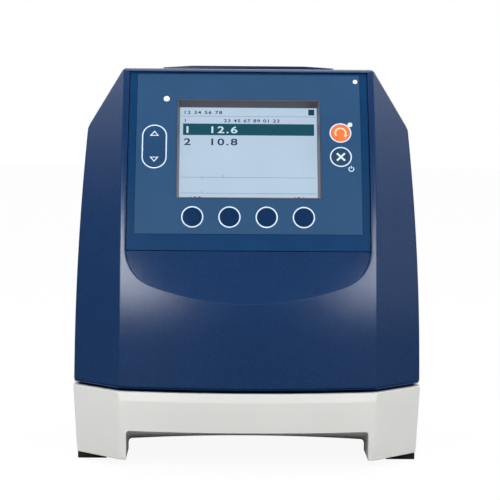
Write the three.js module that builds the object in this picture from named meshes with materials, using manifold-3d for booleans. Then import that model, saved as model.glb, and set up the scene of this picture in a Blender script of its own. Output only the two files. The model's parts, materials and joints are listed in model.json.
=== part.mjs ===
// Grain analyzer: a bench instrument that measures whole grain by the light that passes through it.
// Lengths are millimetres, +Z is up and the front looks towards -Y.
// The origin lies on the bench, under the middle of the footprint.

import * as THREE from "three";
import { mergeVertices } from "three/addons/utils/BufferGeometryUtils.js";
import Module from "manifold-3d";

const wasm = await Module();
wasm.setup();

// Clearances and cuts
const fit = 0.3; // between pieces that touch
const running = 0.5; // around pieces that turn or slide
const overrun = 4; // how far a cut runs past the material
const weld = 0.0001;

// Overall form: an eight-sided plan whose front is bowed and leans back towards the top
const width = 298; // across the top of the base
const depth = 284;
const topHeight = 334.5; // flat top of the housing
const frontBow = 12; // how far the middle of the front stands ahead of its corners
const flank = 41.1; // how far each slanted flank reaches across
const baseTaper = 3.6; // how much narrower each side of the base is at the bottom
const sideStep = 0.7; // how far the housing's sides stand in from the base
const sideTaper = 8.7; // how much the housing narrows on each side up to the shoulders
const rake = 88; // how far the front has leaned back at the top
const rakeStart = 100; // the front is upright below this height
const rakePower = 1.9;
const slopeReach = 1; // half the height over which a slope is taken
const rearChamfer = 12;
const frontHalf = width / 2 - flank; // half width of the front face, between the two flanks
const frontY = -depth / 2 + frontBow;
const rearY = depth / 2;

// White base
const legFace = 6.1; // front of a leg, between the flank and the bay
const bayWall = 25.4; // thickness of the side walls beside the bay
const base = {
  bottom: 6.5, // also the height of the feet
  top: 64,
  bevel: 2,
  bevelHeight: 7.6,
  halfBottom: width / 2 - baseTaper,
  halfTop: width / 2,
  wall: 5,
  deck: 4.5, // thickness of the floor over the bay
  archHalf: frontHalf - legFace, // half width of the bay at the front and rear
  archHeight: 31.2, // front edge of the arch
  archFillet: 3,
  lipBack: 51, // how far behind the front corners the lip lies
  lipHeight: 18.4,
  lipDrop: 3, // the lip is lower at its ends
  legDepth: 51,
  bayHalf: width / 2 - baseTaper - bayWall, // half width of the bay between the front and rear legs
};

// Rubber feet
const foot = { width: 25, length: 36, setBack: 40.5, setIn: 0.5 };

// Blue housing
const shadowGap = 3; // dark joint between the base and the housing
const lipReach = 6; // how far the housing's inner lip reaches into the base
const shoulderDrop = 52.5; // height of the sloped shoulders
const housing = {
  bottom: base.top + shadowGap,
  halfBottom: width / 2 - sideStep,
  halfShoulder: width / 2 - sideStep - sideTaper,
  sideCrown: 1.5, // how far the sides stand out at half height
  shoulder: topHeight - shoulderDrop, // height where the sloped shoulders start
  wall: 5,
  frontExtra: 1.5, // the front is this much thicker
  roof: 5,
  flange: 3,
  lip: 3,
  lipBottom: base.top - lipReach,
};

// Control panel, which lies in a shallow recess of the front
const panelEdge = 3.1; // from the top of the housing to the top of the panel
const panelHeight = 150.2;
const strip = 5; // width of the housing's strips beside the panel
const smileDrop = 42.2; // depth of the curved recess below the panel
const smileShare = 2.27; // radius of its lower edge as a share of the front's half width
const panel = {
  seam: topHeight - panelEdge - panelHeight, // lower edge
  top: topHeight - panelEdge,
  half: frontHalf - strip,
  gap: 0.4, // visible joint round the panel
  recess: 2, // depth of the recess below the strips beside it
  thickness: 2,
  smileBottom: topHeight - panelEdge - panelHeight - smileDrop, // lowest point of the recess
  smileEdge: 0.3, // depth of the recess in the middle of its lower edge
  smileSide: 0.9, // how much deeper it is at the sides
  smileRadius: frontHalf * smileShare,
  smileCorner: 34,
  ledge: 5, // width of the seat round the panel opening
};
const filmSide = 6.7; // bare panel beside the film
const filmFoot = 14.2; // and below it
const filmHead = 1.8; // and above it
const film = {
  half: panel.half - filmSide,
  bottom: panel.seam + filmFoot,
  top: panel.top - filmHead,
  thickness: 0.5,
};

// Screen: flat, so it leans a little less than the curved panel round it
const column = 35.7; // width of the film for the controls on each side of the screen
const screenHead = 24.1; // from the top of the panel to the screen
const screenFoot = 44.6; // and from its lower edge
const screen = {
  bottom: panel.seam + screenFoot,
  top: panel.top - screenHead,
  half: film.half - column,
  taper: 1.3,
  recess: 11.5,
  proud: 5,
  wall: 0.8,
  flange: 5,
  flangeThickness: 1.5,
  glassThickness: 1.1,
  moduleRim: 4,
  moduleThickness: 9,
};

// Keys
const key = {
  cap: 8.2,
  travel: 0.6,
  gap: 0.3,
  proud: 0.35,
  flange: 1.2,
  flangeWidth: 0.7,
  stem: 3,
  switchRadius: 3,
  switchHeight: 3,
  dome: 0.9,
};
// The soft keys stand on a row above the film's lower edge, and the other controls in the two columns,
// placed from the film's side edges and from the top of the screen
const softKey = { first: -47.5, pitch: 31.4, rise: 14.1, count: 4 };
const columnKey = { inset: 17.5, startDrop: 27.1, escapeDrop: 47.2 };
const rocker = {
  inset: 15.7,
  drop: 39.5,
  half: 9.1,
  length: 38.3,
  pinDepth: 6,
  pinRadius: 1.2,
  lugThickness: 3,
  lugHalf: 3.5,
  body: 4.2,
  plungerOffset: 14,
};
const readyLight = { inset: 25.5, rise: 1.1, radius: 2.6 };
const startLight = { inset: 9.1, drop: 19.9, radius: 1.95 };
const cornerLight = { inset: 3.6, drop: 5.5, radius: 2 };
const light = [
  {
    name: "light_pipe_ready",
    x: readyLight.inset - film.half,
    height: screen.top + readyLight.rise,
    radius: readyLight.radius,
  },
  {
    name: "light_pipe_start",
    x: film.half - startLight.inset,
    height: screen.top - startLight.drop,
    radius: startLight.radius,
  },
  {
    name: "light_pipe_corner",
    x: film.half - cornerLight.inset,
    height: film.top - cornerLight.drop,
    radius: cornerLight.radius,
  },
];
const pipe = { shoulder: 0.4, shoulderHeight: 1, clear: 0.5 };
const boardInset = 1.2; // the key board is narrower than the film
const keyBoard = {
  half: film.half - boardInset,
  foot: 33.5, // from the lower edge of the screen to the board's lower edge
  head: 19.5, // and from the upper edge to the upper one
  thickness: 1.6,
  behind: 13,
  postRadius: 3,
  postInset: 4,
  postRise: 1.5, // the upper posts stand this far above the screen
};

// Mouth of the funnel in the roof
const mouthFrontGap = 22; // roof ahead of the mouth
const mouthRearGap = 36; // roof behind it
const funnel = {
  mouthHalf: 62,
  mouthFront: frontY + rake + mouthFrontGap,
  mouthRear: rearY - mouthRearGap,
  flange: 4,
  flangeThickness: 2,
  seat: 2.5,
  wall: 2,
  straight: 8,
  neck: 4,
};

// Lid and its hinge
const lidSide = 12.5; // how far the lid covers the roof beside the mouth
const lidFront = 14; // and ahead of it
const lidRear = 13; // and behind it
const hingeGap = 7; // from the lid's rear edge to the hinge axis
const lid = {
  half: funnel.mouthHalf + lidSide,
  crownHalf: 49,
  front: funnel.mouthFront - lidFront,
  rear: funnel.mouthRear + lidRear,
  edge: 0.7,
  crown: 2.6,
  rimDepth: 6,
  rimWall: 2,
  knuckleWidth: 20,
  knuckleRadius: 3,
  knuckleCentre: 48,
};
const hinge = {
  y: lid.rear + hingeGap,
  drop: 2.8,
  pinRadius: 1.4,
  pocketAhead: 4,
  pocketBehind: 7,
  blockDepth: 12,
  blockHalf: 62,
};

// Grain path, from the mouth of the funnel to the chute
const path = { y: 40, half: 15, reach: 25 }; // the channel is 2 half wide in X and 2 reach deep in Y
const cell = { wallX: 8, wallY: 8, height: 95, windowRadius: 18, windowThickness: 2.4, holeRadius: 14.5 };
const wheel = {
  radius: 24.6,
  chamber: 25.6,
  hub: 7,
  blades: 6,
  bladeThickness: 2.4,
  height: 112,
  shaft: 3,
  endPlate: 4,
};
const feederHousing = { half: 30, wallY: 6 };
const bush = { radius: 6, length: 5 };

// Drive
const gear = {
  teeth: 24,
  module: 1.5,
  width: 6,
  behind: 10, // the feeder housing
  hub: 6,
  hubLength: 2,
  tipHeightShare: 0.9, // of the module
  rootDepthShare: 1.15,
  toothHalfShare: 0.4, // of half the pitch
  tipWidthShare: 0.5,
  rootWidthShare: 1.45,
};
const pinion = { teeth: 12 };
const motor = { radius: 14, length: 22, boss: 6, bossLength: 2, shaft: 2, boreDepth: 12, engage: 9 };
const bracket = { thickness: 2.5, half: 25, foot: 14, top: 134, footThickness: 2.5 };

// Chassis and bench
const chassis = {
  thickness: 2,
  margin: 3,
  postInset: 23.4, // of the posts under it, from the sides
  postFront: 75, // and from the front corners
  postRear: 45, // and from the rear
  postRadius: 6,
};
const benchLeftGap = 36.3; // between the bench and the housing's sides
const benchRightGap = 26.3;
const bench = {
  top: 153,
  thickness: 3,
  left: housing.halfBottom - benchLeftGap,
  right: housing.halfBottom - benchRightGap,
  reach: 48, // ahead of and behind the grain path
};
const chute = { wall: 2, bottom: 13, flange: 5, flangeThickness: 2 };

// Optics
const lampHolder = { length: 62, half: 26, height: 78, bore: 17 };
const lens = { radius: 16.7, thickness: 6, offset: 4, edge: 2.2 };
const lamp = { base: 16.7, baseLength: 10, bulb: 6, bulbLength: 16, back: 4 };
const opticAxis = 200;
const spectrometer = {
  start: 12,
  benchGap: 7, // from its side to the end of the bench
  ahead: 42, // of the grain path
  behind: 44,
  height: 84,
  snout: 13,
  cover: 2,
  coverInset: 4,
};

// Electronics
const boardSideGap = 18; // between the board and the end of the bench
const boardFrontGap = 31; // behind the front corners
const boardRearGap = 6; // ahead of the bench
const board = {
  half: bench.left - boardSideGap,
  front: frontY + boardFrontGap,
  rear: path.y - bench.reach - boardRearGap,
  lift: 6,
  thickness: 1.6,
  postRadius: 3,
  postInset: 6,
  chip: 22,
  chipHeight: 3,
  coil: 14,
  coilHeight: 9,
};
const supplyBenchGap = 7; // between the supply and the bench's leg
const supplyFeederGap = 15; // and the feeder housing
const supply = {
  left: supplyBenchGap - bench.left,
  right: -feederHousing.half - supplyFeederGap,
  ahead: 38, // of the grain path
  behind: 44,
  height: 38,
  slot: 3,
  slotPitch: 8,
};
const cable = { half: 14, thickness: 1 };

// Rear
const coverSide = 27.6; // of the housing's rear beside the cover, at the shoulders
const coverFoot = 13; // and below it
const coverHead = 34.5; // and above it
const cover = {
  half: housing.halfShoulder - coverSide,
  bottom: housing.bottom + coverFoot,
  top: topHeight - coverHead,
  thickness: 2.5,
  rebate: 8,
  corner: 6,
  screwInset: 8,
};
const screw = { head: 2.8, headHeight: 1.4, shank: 1.5, length: 4 };
const fanInset = 46; // of the fan's axis, from the side of the cover
const fanDrop = 68; // and from its top
const fan = {
  half: 30,
  thickness: 15,
  bore: 27.5,
  x: fanInset - cover.half,
  height: cover.top - fanDrop,
  hub: 11,
  blades: 7,
  bladeThickness: 1.6,
  twist: Math.PI / 5,
};
const fanFrame = { spoke: 3, spokes: 3, plate: 2.5, hubGap: 0.6 };
const grille = { slot: 3.6, pitch: 7.2, count: 7 };
const ventInset = 50; // of the middle of the vents, from the side of the cover
const ventDrop = 110; // of the lowest one, from the top of the cover
const vent = {
  slot: 4,
  pitch: 10,
  count: 9,
  half: 24,
  x: cover.half - ventInset,
  bottom: cover.top - ventDrop,
};
const inletInset = 31; // of the power inlet, from the side of the cover
const portRise = 27; // of both sockets, from its foot
const inlet = {
  x: cover.half - inletInset,
  height: cover.bottom + portRise,
  half: 14,
  halfHeight: 10.5,
  length: 24,
  flange: 5,
  flangeThickness: 1.8,
  wall: 2,
  cavity: 15,
  pin: 2,
  pinHeight: 4,
  pinLength: 11,
  pinPitch: 7,
};
const socket = {
  x: -30,
  height: cover.bottom + portRise,
  half: 9,
  halfHeight: 8,
  length: 22,
  flange: 3,
  flangeThickness: 1.5,
  wall: 1.6,
  cavity: 12,
  tongue: 2,
};

// Fineness of the facets
const faces = { round: 11, small: 6, few: 3, corner: 2, arc: 10, profile: 8 };

// Colours
const colour = {
  blue: 0x1f3b73,
  film: 0x3f6a9c,
  white: 0xe6e6e2,
  rubber: 0x17181a,
  orange: 0xf0793c,
  navy: 0x142c57,
  taupe: 0x6f6d75,
  glass: 0xb9d0e4,
  steel: 0xb4b7ba,
  aluminium: 0xc2c5c8,
  brass: 0xb9974f,
  board: 0x1f6a45,
  black: 0x1c1d20,
  clear: 0xdfe9ee,
};
const finish = {
  blue: paint(colour.blue, 0.45),
  film: paint(colour.film, 0.4),
  white: paint(colour.white, 0.5),
  rubber: paint(colour.rubber, 0.9),
  orange: paint(colour.orange, 0.45),
  navy: paint(colour.navy, 0.6),
  taupe: paint(colour.taupe, 0.5),
  glass: paint(colour.glass, 0.1),
  steel: paint(colour.steel, 0.35, 1),
  aluminium: paint(colour.aluminium, 0.4, 1),
  brass: paint(colour.brass, 0.35, 1),
  board: paint(colour.board, 0.6),
  black: paint(colour.black, 0.55),
  clear: paint(colour.clear, 0.15),
};

function paint(color, roughness, metalness = 0) {
  return new THREE.MeshStandardMaterial({ color, roughness, metalness });
}

// Solids from closed geometries

function solidOf(geometry, matrix) {
  const bare = geometry.index ? geometry.toNonIndexed() : geometry.clone();
  bare.deleteAttribute("normal");
  bare.deleteAttribute("uv");
  if (matrix) bare.applyMatrix4(matrix);
  const merged = mergeVertices(bare, weld);
  return new wasm.Manifold(
    new wasm.Mesh({
      numProp: 3,
      vertProperties: merged.attributes.position.array,
      triVerts: new Uint32Array(merged.index.array),
    }),
  );
}

function join(first, ...others) {
  return others.reduce((whole, other) => whole.add(other), first);
}

function cut(first, ...others) {
  return others.reduce((whole, other) => whole.subtract(other), first);
}

function geometryOf(solid) {
  const mesh = solid.getMesh();
  const geometry = new THREE.BufferGeometry();
  geometry.setAttribute("position", new THREE.BufferAttribute(new Float32Array(mesh.vertProperties), 3));
  geometry.setIndex(new THREE.BufferAttribute(new Uint32Array(mesh.triVerts), 1));
  const flat = geometry.toNonIndexed();
  flat.computeVertexNormals();
  return flat;
}

const instrument = new THREE.Group();

function piece(name, solid, material) {
  const mesh = new THREE.Mesh(geometryOf(solid), material);
  mesh.name = name;
  instrument.add(mesh);
  return mesh;
}

// Basic forms, each returned as a solid

function outline(points) {
  return new THREE.Shape(points.map(([u, v]) => new THREE.Vector2(u, v)));
}

function extruded(shape, length, matrix, curveSegments = faces.round) {
  const geometry = new THREE.ExtrudeGeometry(shape, { depth: length, bevelEnabled: false, curveSegments });
  return solidOf(geometry, matrix);
}

function axes(x, y, z, origin) {
  return new THREE.Matrix4().makeBasis(x, y, z).setPosition(origin);
}

const alongX = new THREE.Vector3(1, 0, 0);
const alongY = new THREE.Vector3(0, 1, 0);
const alongZ = new THREE.Vector3(0, 0, 1);

// A shape drawn in (Y, Z) and extruded from x0 to x1
function extrudeX(shape, x0, x1, segments) {
  const place = axes(alongY, alongZ, alongX, new THREE.Vector3(x0, 0, 0));
  return extruded(shape, x1 - x0, place, segments);
}

// A shape drawn in (X, Z) and extruded from y0 to y1
function extrudeY(shape, y0, y1, segments) {
  const place = axes(alongX, alongZ, alongY.clone().negate(), new THREE.Vector3(0, y1, 0));
  return extruded(shape, y1 - y0, place, segments);
}

// A shape drawn in (X, Y) and extruded from z0 to z1
function extrudeZ(shape, z0, z1, segments) {
  return extruded(shape, z1 - z0, new THREE.Matrix4().setPosition(0, 0, z0), segments);
}

function box(x0, x1, y0, y1, z0, z1, matrix) {
  const block = new THREE.BoxGeometry(x1 - x0, y1 - y0, z1 - z0);
  block.translate((x0 + x1) / 2, (y0 + y1) / 2, (z0 + z1) / 2);
  return solidOf(block, matrix);
}

function disc(u, v, radius) {
  const shape = new THREE.Shape();
  shape.absarc(u, v, radius, 0, Math.PI * 2, false);
  return shape;
}

function rectangle(u0, u1, v0, v1) {
  return outline([[u0, v0], [u1, v0], [u1, v1], [u0, v1]]);
}

function roundedRectangle(u0, u1, v0, v1, radius) {
  const shape = new THREE.Shape();
  shape.absarc(u1 - radius, v0 + radius, radius, -Math.PI / 2, 0, false);
  shape.absarc(u1 - radius, v1 - radius, radius, 0, Math.PI / 2, false);
  shape.absarc(u0 + radius, v1 - radius, radius, Math.PI / 2, Math.PI, false);
  shape.absarc(u0 + radius, v0 + radius, radius, Math.PI, Math.PI * 1.5, false);
  return shape;
}

function stadium(half, straight) {
  return roundedRectangle(-half, half, -straight / 2 - half, straight / 2 + half, half);
}

function rodX(x0, x1, y, z, radius, segments = faces.small) {
  return extrudeX(disc(y, z, radius), x0, x1, segments);
}

function rodY(y0, y1, x, z, radius, segments = faces.small) {
  return extrudeY(disc(x, z, radius), y0, y1, segments);
}

function rodZ(z0, z1, x, y, radius, segments = faces.small) {
  return extrudeZ(disc(x, y, radius), z0, z1, segments);
}

// A closed skin over rings of points, all with the same number of points.
// The rings run anticlockwise seen from the last one, and flat lays a ring's point on a plane for its cap.
function loft(rings, flat) {
  const count = rings[0].length;
  const positions = rings.flat().flatMap((point) => [point.x, point.y, point.z]);
  const index = [];
  for (let j = 0; j + 1 < rings.length; j += 1) {
    for (let i = 0; i < count; i += 1) {
      const next = (i + 1) % count;
      const a = j * count + i;
      const b = j * count + next;
      const c = b + count;
      const d = a + count;
      index.push(a, b, c, a, c, d);
    }
  }
  const last = (rings.length - 1) * count;
  const cap = (ring) => THREE.ShapeUtils.triangulateShape(ring.map(flat), []);
  for (const [a, b, c] of cap(rings[0])) index.push(a, c, b);
  for (const [a, b, c] of cap(rings[rings.length - 1])) index.push(last + a, last + b, last + c);
  const geometry = new THREE.BufferGeometry();
  geometry.setAttribute("position", new THREE.Float32BufferAttribute(positions, 3));
  geometry.setIndex(index);
  return solidOf(geometry);
}

const fromAbove = (point) => new THREE.Vector2(point.x, point.y);
const fromSide = (point) => new THREE.Vector2(point.y, point.z);

function spread(low, high, steps) {
  return Array.from({ length: steps + 1 }, (_, i) => low + ((high - low) * i) / steps);
}

// The form of the front

function clamp01(value) {
  return Math.min(1, Math.max(0, value));
}

// How far the front corners lie behind their place at the bottom
function leanAt(z) {
  return rake * clamp01((z - rakeStart) / (topHeight - rakeStart)) ** rakePower;
}

// How far the middle of the front stands ahead of the corners, fading out beside the panel
function bowAt(z) {
  return frontBow * (1 - THREE.MathUtils.smoothstep(z, panel.smileBottom, topHeight));
}

// The same for the inside of the front, which has gone flat behind the panel
function innerBowAt(z) {
  return frontBow * (1 - clamp01((z - panel.smileBottom) / (panel.seam - panel.smileBottom)));
}

// Y of the front's skin at a place
function skinAt(x, z) {
  return frontY + leanAt(z) - bowAt(z) * (1 - (x / frontHalf) ** 2);
}

// Y of the panel's face, which is flat across, at a height
function faceAt(z) {
  return frontY + leanAt(z) + panel.recess;
}

// Y of the recess floor: straight lines from the seam down to the wide arc, where it nears the skin
function floorAt(x, z) {
  const low = panel.smileBottom + panel.smileRadius - Math.sqrt(panel.smileRadius ** 2 - x ** 2);
  const lowY = skinAt(x, low) + panel.smileEdge + panel.smileSide * (x / frontHalf) ** 2;
  return THREE.MathUtils.mapLinear(z, low, panel.seam, lowY, faceAt(panel.seam));
}

// Half width of the base and of the housing at a height
function baseHalfAt(z) {
  return THREE.MathUtils.mapLinear(z, base.bottom, base.top, base.halfBottom, base.halfTop);
}

function housingHalfAt(z) {
  const share = (z - housing.bottom) / (housing.shoulder - housing.bottom);
  const inner = clamp01(share);
  const crown = 4 * housing.sideCrown * inner * (1 - inner);
  return housing.halfBottom + (housing.halfShoulder - housing.halfBottom) * share + crown;
}

// One eight-sided ring of the plan, moved inwards by inset, its front face set back by shift as well
function planRing(z, half, lean, bow, inset = 0, shift = 0) {
  const turn = inset * Math.tan(Math.PI / 8);
  const cornerX = frontHalf + shift - turn;
  const faceY = frontY + lean + shift + inset;
  const sideX = half - inset;
  const flankY = frontY + lean + (half - frontHalf) + turn;
  const ring = spread(-cornerX, cornerX, faces.arc).map(
    (x) => new THREE.Vector3(x, faceY - bow * (1 - (x / cornerX) ** 2), z),
  );
  const backY = rearY - rearChamfer - turn;
  const backX = half - rearChamfer - turn;
  ring.push(new THREE.Vector3(sideX, flankY, z));
  ring.push(new THREE.Vector3(sideX, backY, z));
  ring.push(new THREE.Vector3(backX, rearY - inset, z));
  ring.push(new THREE.Vector3(-backX, rearY - inset, z));
  ring.push(new THREE.Vector3(-sideX, backY, z));
  ring.push(new THREE.Vector3(-sideX, flankY, z));
  return ring;
}

// A prism from z0 to z1 with the base's plan at height z
function basePrism(z, z0, z1, inset) {
  const at = (level) => planRing(level, baseHalfAt(z), 0, frontBow, inset, base.bevel);
  return loft([at(z0), at(z1)], fromAbove);
}

// Base moulding

// The bay under the deck, lifted by some height to give the deck's upper side
function bayCut(lift) {
  const half = base.archHalf + lift;
  const fillet = base.archFillet;
  const lipY = frontY + base.lipBack + lift / 2;
  const nearY = frontY - frontBow - overrun;
  const farY = rearY + overrun;
  const stations = [
    ...spread(-half, -half + fillet, faces.few),
    ...spread(-half + fillet, half - fillet, faces.arc).slice(1, -1),
    ...spread(half - fillet, half, faces.few),
  ];
  const rings = stations.map((x) => {
    const corner = Math.max(0, fillet - (half - Math.abs(x)));
    const drop = fillet - Math.sqrt(fillet ** 2 - Math.min(corner, fillet) ** 2);
    const lip = base.lipHeight - base.lipDrop * (x / half) ** 2 - drop + lift;
    const arch = base.archHeight - drop + lift;
    const skinY = frontY - frontBow * (1 - Math.min(1, (x / frontHalf) ** 2));
    const rise = (arch - lip) / (lipY - skinY);
    const low = base.bottom - overrun;
    return [
      [nearY, low],
      [farY, low],
      [farY, lip],
      [lipY, lip],
      [skinY, arch],
      [nearY, arch + rise * (skinY - nearY)],
    ].map(([y, z]) => new THREE.Vector3(x, y, z));
  });
  return loft(rings, fromSide);
}

const chassisBottom = housing.bottom + fit;
const deckTop = base.lipHeight + base.deck;
const basePostX = base.halfBottom - chassis.postInset;
const postPlaces = [
  [-basePostX, frontY + chassis.postFront],
  [basePostX, frontY + chassis.postFront],
  [-basePostX, rearY - chassis.postRear],
  [basePostX, rearY - chassis.postRear],
];

function chuteCut(z0, z1, gap) {
  const x = path.half + chute.wall + gap;
  const y = path.reach + chute.wall + gap;
  return box(-x, x, path.y - y, path.y + y, z0, z1);
}

function baseFrame() {
  const ringAt = (z, shift) => planRing(z, baseHalfAt(z), 0, frontBow, 0, shift);
  const bevelFoot = base.top - base.bevelHeight;
  const levels = [ringAt(base.bottom, 0), ringAt(bevelFoot, 0), ringAt(base.top, base.bevel)];
  const outer = loft(levels, fromAbove);
  const innerAt = (z) => planRing(z, baseHalfAt(z), 0, frontBow, base.wall, base.bevel);
  const inside = loft([innerAt(deckTop), innerAt(base.top + overrun)], fromAbove);
  const hollow = cut(inside, bayCut(base.deck));
  const wide = box(
    -base.bayHalf,
    base.bayHalf,
    frontY + base.legDepth,
    rearY - base.legDepth,
    base.bottom - overrun,
    base.lipHeight - base.lipDrop,
  );
  const shell = cut(outer, hollow, bayCut(0), wide);
  const posts = postPlaces.map(([x, y]) =>
    rodZ(deckTop - base.wall, chassisBottom - fit, x, y, chassis.postRadius),
  );
  const opening = chuteCut(base.bottom - overrun, deckTop + base.archHeight, running);
  return cut(join(shell, ...posts), opening);
}

piece("base_frame", baseFrame(), finish.white);

// Feet, under the legs and the side walls
function footSolid(side, end) {
  const outerX = side * (base.halfBottom - foot.setIn);
  const innerX = outerX - side * foot.width;
  const nearY = end < 0 ? frontY + foot.setBack : rearY - foot.setBack - foot.length;
  const left = Math.min(outerX, innerX);
  return box(left, left + foot.width, nearY, nearY + foot.length, 0, base.bottom - fit);
}

piece("foot_front_left", footSolid(-1, -1), finish.rubber);
piece("foot_front_right", footSolid(1, -1), finish.rubber);
piece("foot_rear_left", footSolid(-1, 1), finish.rubber);
piece("foot_rear_right", footSolid(1, 1), finish.rubber);

// Upper housing

const housingLevels = [
  housing.bottom,
  ...spread(rakeStart, topHeight, faces.profile),
];

function housingRings(levels, bow, inset, shift) {
  return levels.map((z) => planRing(z, housingHalfAt(z), leanAt(z), bow(z), inset, shift));
}

// Both sloped shoulders, as the prisms outside them, moved inwards by inset
function shoulderCuts(inset) {
  const run = housing.halfShoulder - frontHalf;
  const rise = topHeight - housing.shoulder;
  const length = Math.hypot(run, rise);
  const shiftX = (inset * rise) / length;
  const shiftZ = (inset * run) / length;
  return [-1, 1].map((side) => {
    const corners = [
      [frontHalf - run, topHeight + rise],
      [housing.halfShoulder + run, housing.shoulder - rise],
      [housing.halfShoulder + run * 2, housing.shoulder + rise],
      [housing.halfShoulder + run, topHeight + rise * 2],
    ].map(([x, z]) => [side * (x - shiftX), z - shiftZ]);
    return extrudeY(outline(corners), -depth, depth);
  });
}

// The recess seen from the front: a wide arc below, rounded up into upright sides
function recessOutline(half, top) {
  const arcCentre = panel.smileBottom + panel.smileRadius;
  const cornerX = half - panel.smileCorner;
  const reach = panel.smileRadius - panel.smileCorner;
  const cornerZ = arcCentre - Math.sqrt(reach ** 2 - cornerX ** 2);
  const tangent = Math.atan2(cornerX, arcCentre - cornerZ);
  const shape = new THREE.Shape();
  shape.absarc(0, arcCentre, panel.smileRadius, -Math.PI / 2 - tangent, -Math.PI / 2 + tangent, false);
  shape.absarc(cornerX, cornerZ, panel.smileCorner, -Math.PI / 2 + tangent, 0, false);
  shape.lineTo(half, top);
  shape.lineTo(-half, top);
  shape.absarc(-cornerX, cornerZ, panel.smileCorner, Math.PI, Math.PI * 1.5 - tangent, false);
  return shape;
}

// Everything ahead of the panel's face between two heights, moved back by offset
function aheadOfFace(low, high, half, offset) {
  const levels = spread(low, high, faces.profile);
  const face = levels.map((z) => [faceAt(z) + offset, z]);
  const far = frontY - frontBow - overrun;
  return extrudeX(outline([[far, low], ...face, [far, high]]), -half, half);
}

// Everything ahead of the recess floor and of the panel's face above it
function aheadOfFloor() {
  const low = panel.smileBottom - overrun;
  const far = frontY - frontBow - overrun;
  const face = spread(panel.seam, topHeight, faces.profile).map((z) => [faceAt(z), z]);
  const rings = spread(-frontHalf, frontHalf, faces.arc).map((x) =>
    [[far, low], [floorAt(x, low), low], ...face, [far, topHeight]].map(
      ([y, z]) => new THREE.Vector3(x, y, z),
    ),
  );
  return loft(rings, fromSide);
}

function hingeAxisZ() {
  return topHeight - hinge.drop;
}

function coverPlate(x, z0, z1, y0, y1) {
  return extrudeY(roundedRectangle(-x, x, z0, z1, cover.corner), y0, y1, faces.corner);
}

const coverScrews = [-1, 1].flatMap((side) =>
  [cover.bottom + cover.screwInset * 2, cover.top - cover.screwInset * 2].map((z) => [
    side * (cover.half - cover.rebate / 2),
    z,
  ]),
);

function upperHousing() {
  const outer = loft(housingRings(housingLevels, bowAt, 0, 0), fromAbove);
  const roofBottom = topHeight - housing.roof;
  const flangeTop = housing.bottom + housing.flange;
  const innerLevels = [
    flangeTop,
    panel.smileBottom,
    panel.seam,
    ...spread(panel.seam, roofBottom, faces.profile).slice(1),
  ];
  const inner = cut(
    loft(housingRings(innerLevels, innerBowAt, housing.wall, housing.frontExtra), fromAbove),
    ...shoulderCuts(housing.wall),
  );
  const lipInset = base.wall + fit;
  const lip = basePrism(housing.lipBottom, housing.lipBottom, flangeTop - fit, lipInset);
  const throat = basePrism(
    housing.lipBottom,
    housing.lipBottom - overrun,
    flangeTop + overrun,
    lipInset + housing.lip,
  );
  const recessShape = recessOutline(panel.half + panel.gap, panel.top + panel.gap);
  const recess = extrudeY(recessShape, -depth, 0, faces.small).intersect(aheadOfFloor());
  const seat = aheadOfFace(
    panel.seam - panel.gap,
    panel.top + panel.gap,
    panel.half + panel.gap,
    panel.thickness + fit,
  );
  const window = box(
    panel.ledge - panel.half,
    panel.half - panel.ledge,
    -depth,
    0,
    panel.seam + panel.ledge,
    panel.top - panel.ledge,
  );
  const hingeBlock = box(
    -hinge.blockHalf - lid.knuckleRadius,
    hinge.blockHalf + lid.knuckleRadius,
    hinge.y - hinge.pocketAhead - housing.wall,
    rearY - housing.wall / 2,
    topHeight - hinge.blockDepth,
    roofBottom + housing.roof / 2,
  );
  const mouth = box(
    -funnel.mouthHalf,
    funnel.mouthHalf,
    funnel.mouthFront,
    funnel.mouthRear,
    roofBottom - overrun,
    topHeight + overrun,
  );
  const mouthSeat = box(
    -funnel.mouthHalf - funnel.flange,
    funnel.mouthHalf + funnel.flange,
    funnel.mouthFront - funnel.flange,
    funnel.mouthRear + funnel.flange,
    topHeight - funnel.seat,
    topHeight + overrun,
  );
  const knuckleReach = lid.knuckleWidth / 2 + running;
  const pockets = [-1, 1].map((side) =>
    box(
      side * lid.knuckleCentre - knuckleReach,
      side * lid.knuckleCentre + knuckleReach,
      hinge.y - hinge.pocketAhead,
      hinge.y + hinge.pocketBehind,
      hingeAxisZ() - lid.knuckleRadius - running,
      topHeight + overrun,
    ),
  );
  const bore = rodX(-hinge.blockHalf, hinge.blockHalf, hinge.y, hingeAxisZ(), hinge.pinRadius + fit);
  const rearHole = coverPlate(
    cover.half - cover.rebate,
    cover.bottom + cover.rebate,
    cover.top - cover.rebate,
    rearY - housing.wall - overrun,
    rearY + overrun,
  );
  const rearSeat = coverPlate(
    cover.half + fit,
    cover.bottom - fit,
    cover.top + fit,
    rearY - cover.thickness - fit * 2,
    rearY + overrun,
  );
  const screwHoles = coverScrews.map(([x, z]) =>
    rodY(rearY - housing.wall - overrun, rearY, x, z, screw.shank + fit, faces.few),
  );
  const skin = join(cut(outer, ...shoulderCuts(0), inner), lip, hingeBlock);
  return cut(
    skin,
    throat,
    recess,
    seat,
    window,
    mouth,
    mouthSeat,
    ...pockets,
    bore,
    rearHole,
    rearSeat,
    ...screwHoles,
  );
}

piece("upper_housing", upperHousing(), finish.blue);

// Frames on the panel: x across, y up along the surface, z straight out of it

function frameOn(x, y, z, lean) {
  const up = new THREE.Vector3(0, Math.sin(lean), Math.cos(lean));
  const out = new THREE.Vector3(0, -Math.cos(lean), Math.sin(lean));
  return axes(alongX, up, out, new THREE.Vector3(x, y, z));
}

function faceFrame(x, z) {
  const lean = Math.atan2(faceAt(z + slopeReach) - faceAt(z - slopeReach), slopeReach * 2);
  return frameOn(x, faceAt(z), z, lean);
}

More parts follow.
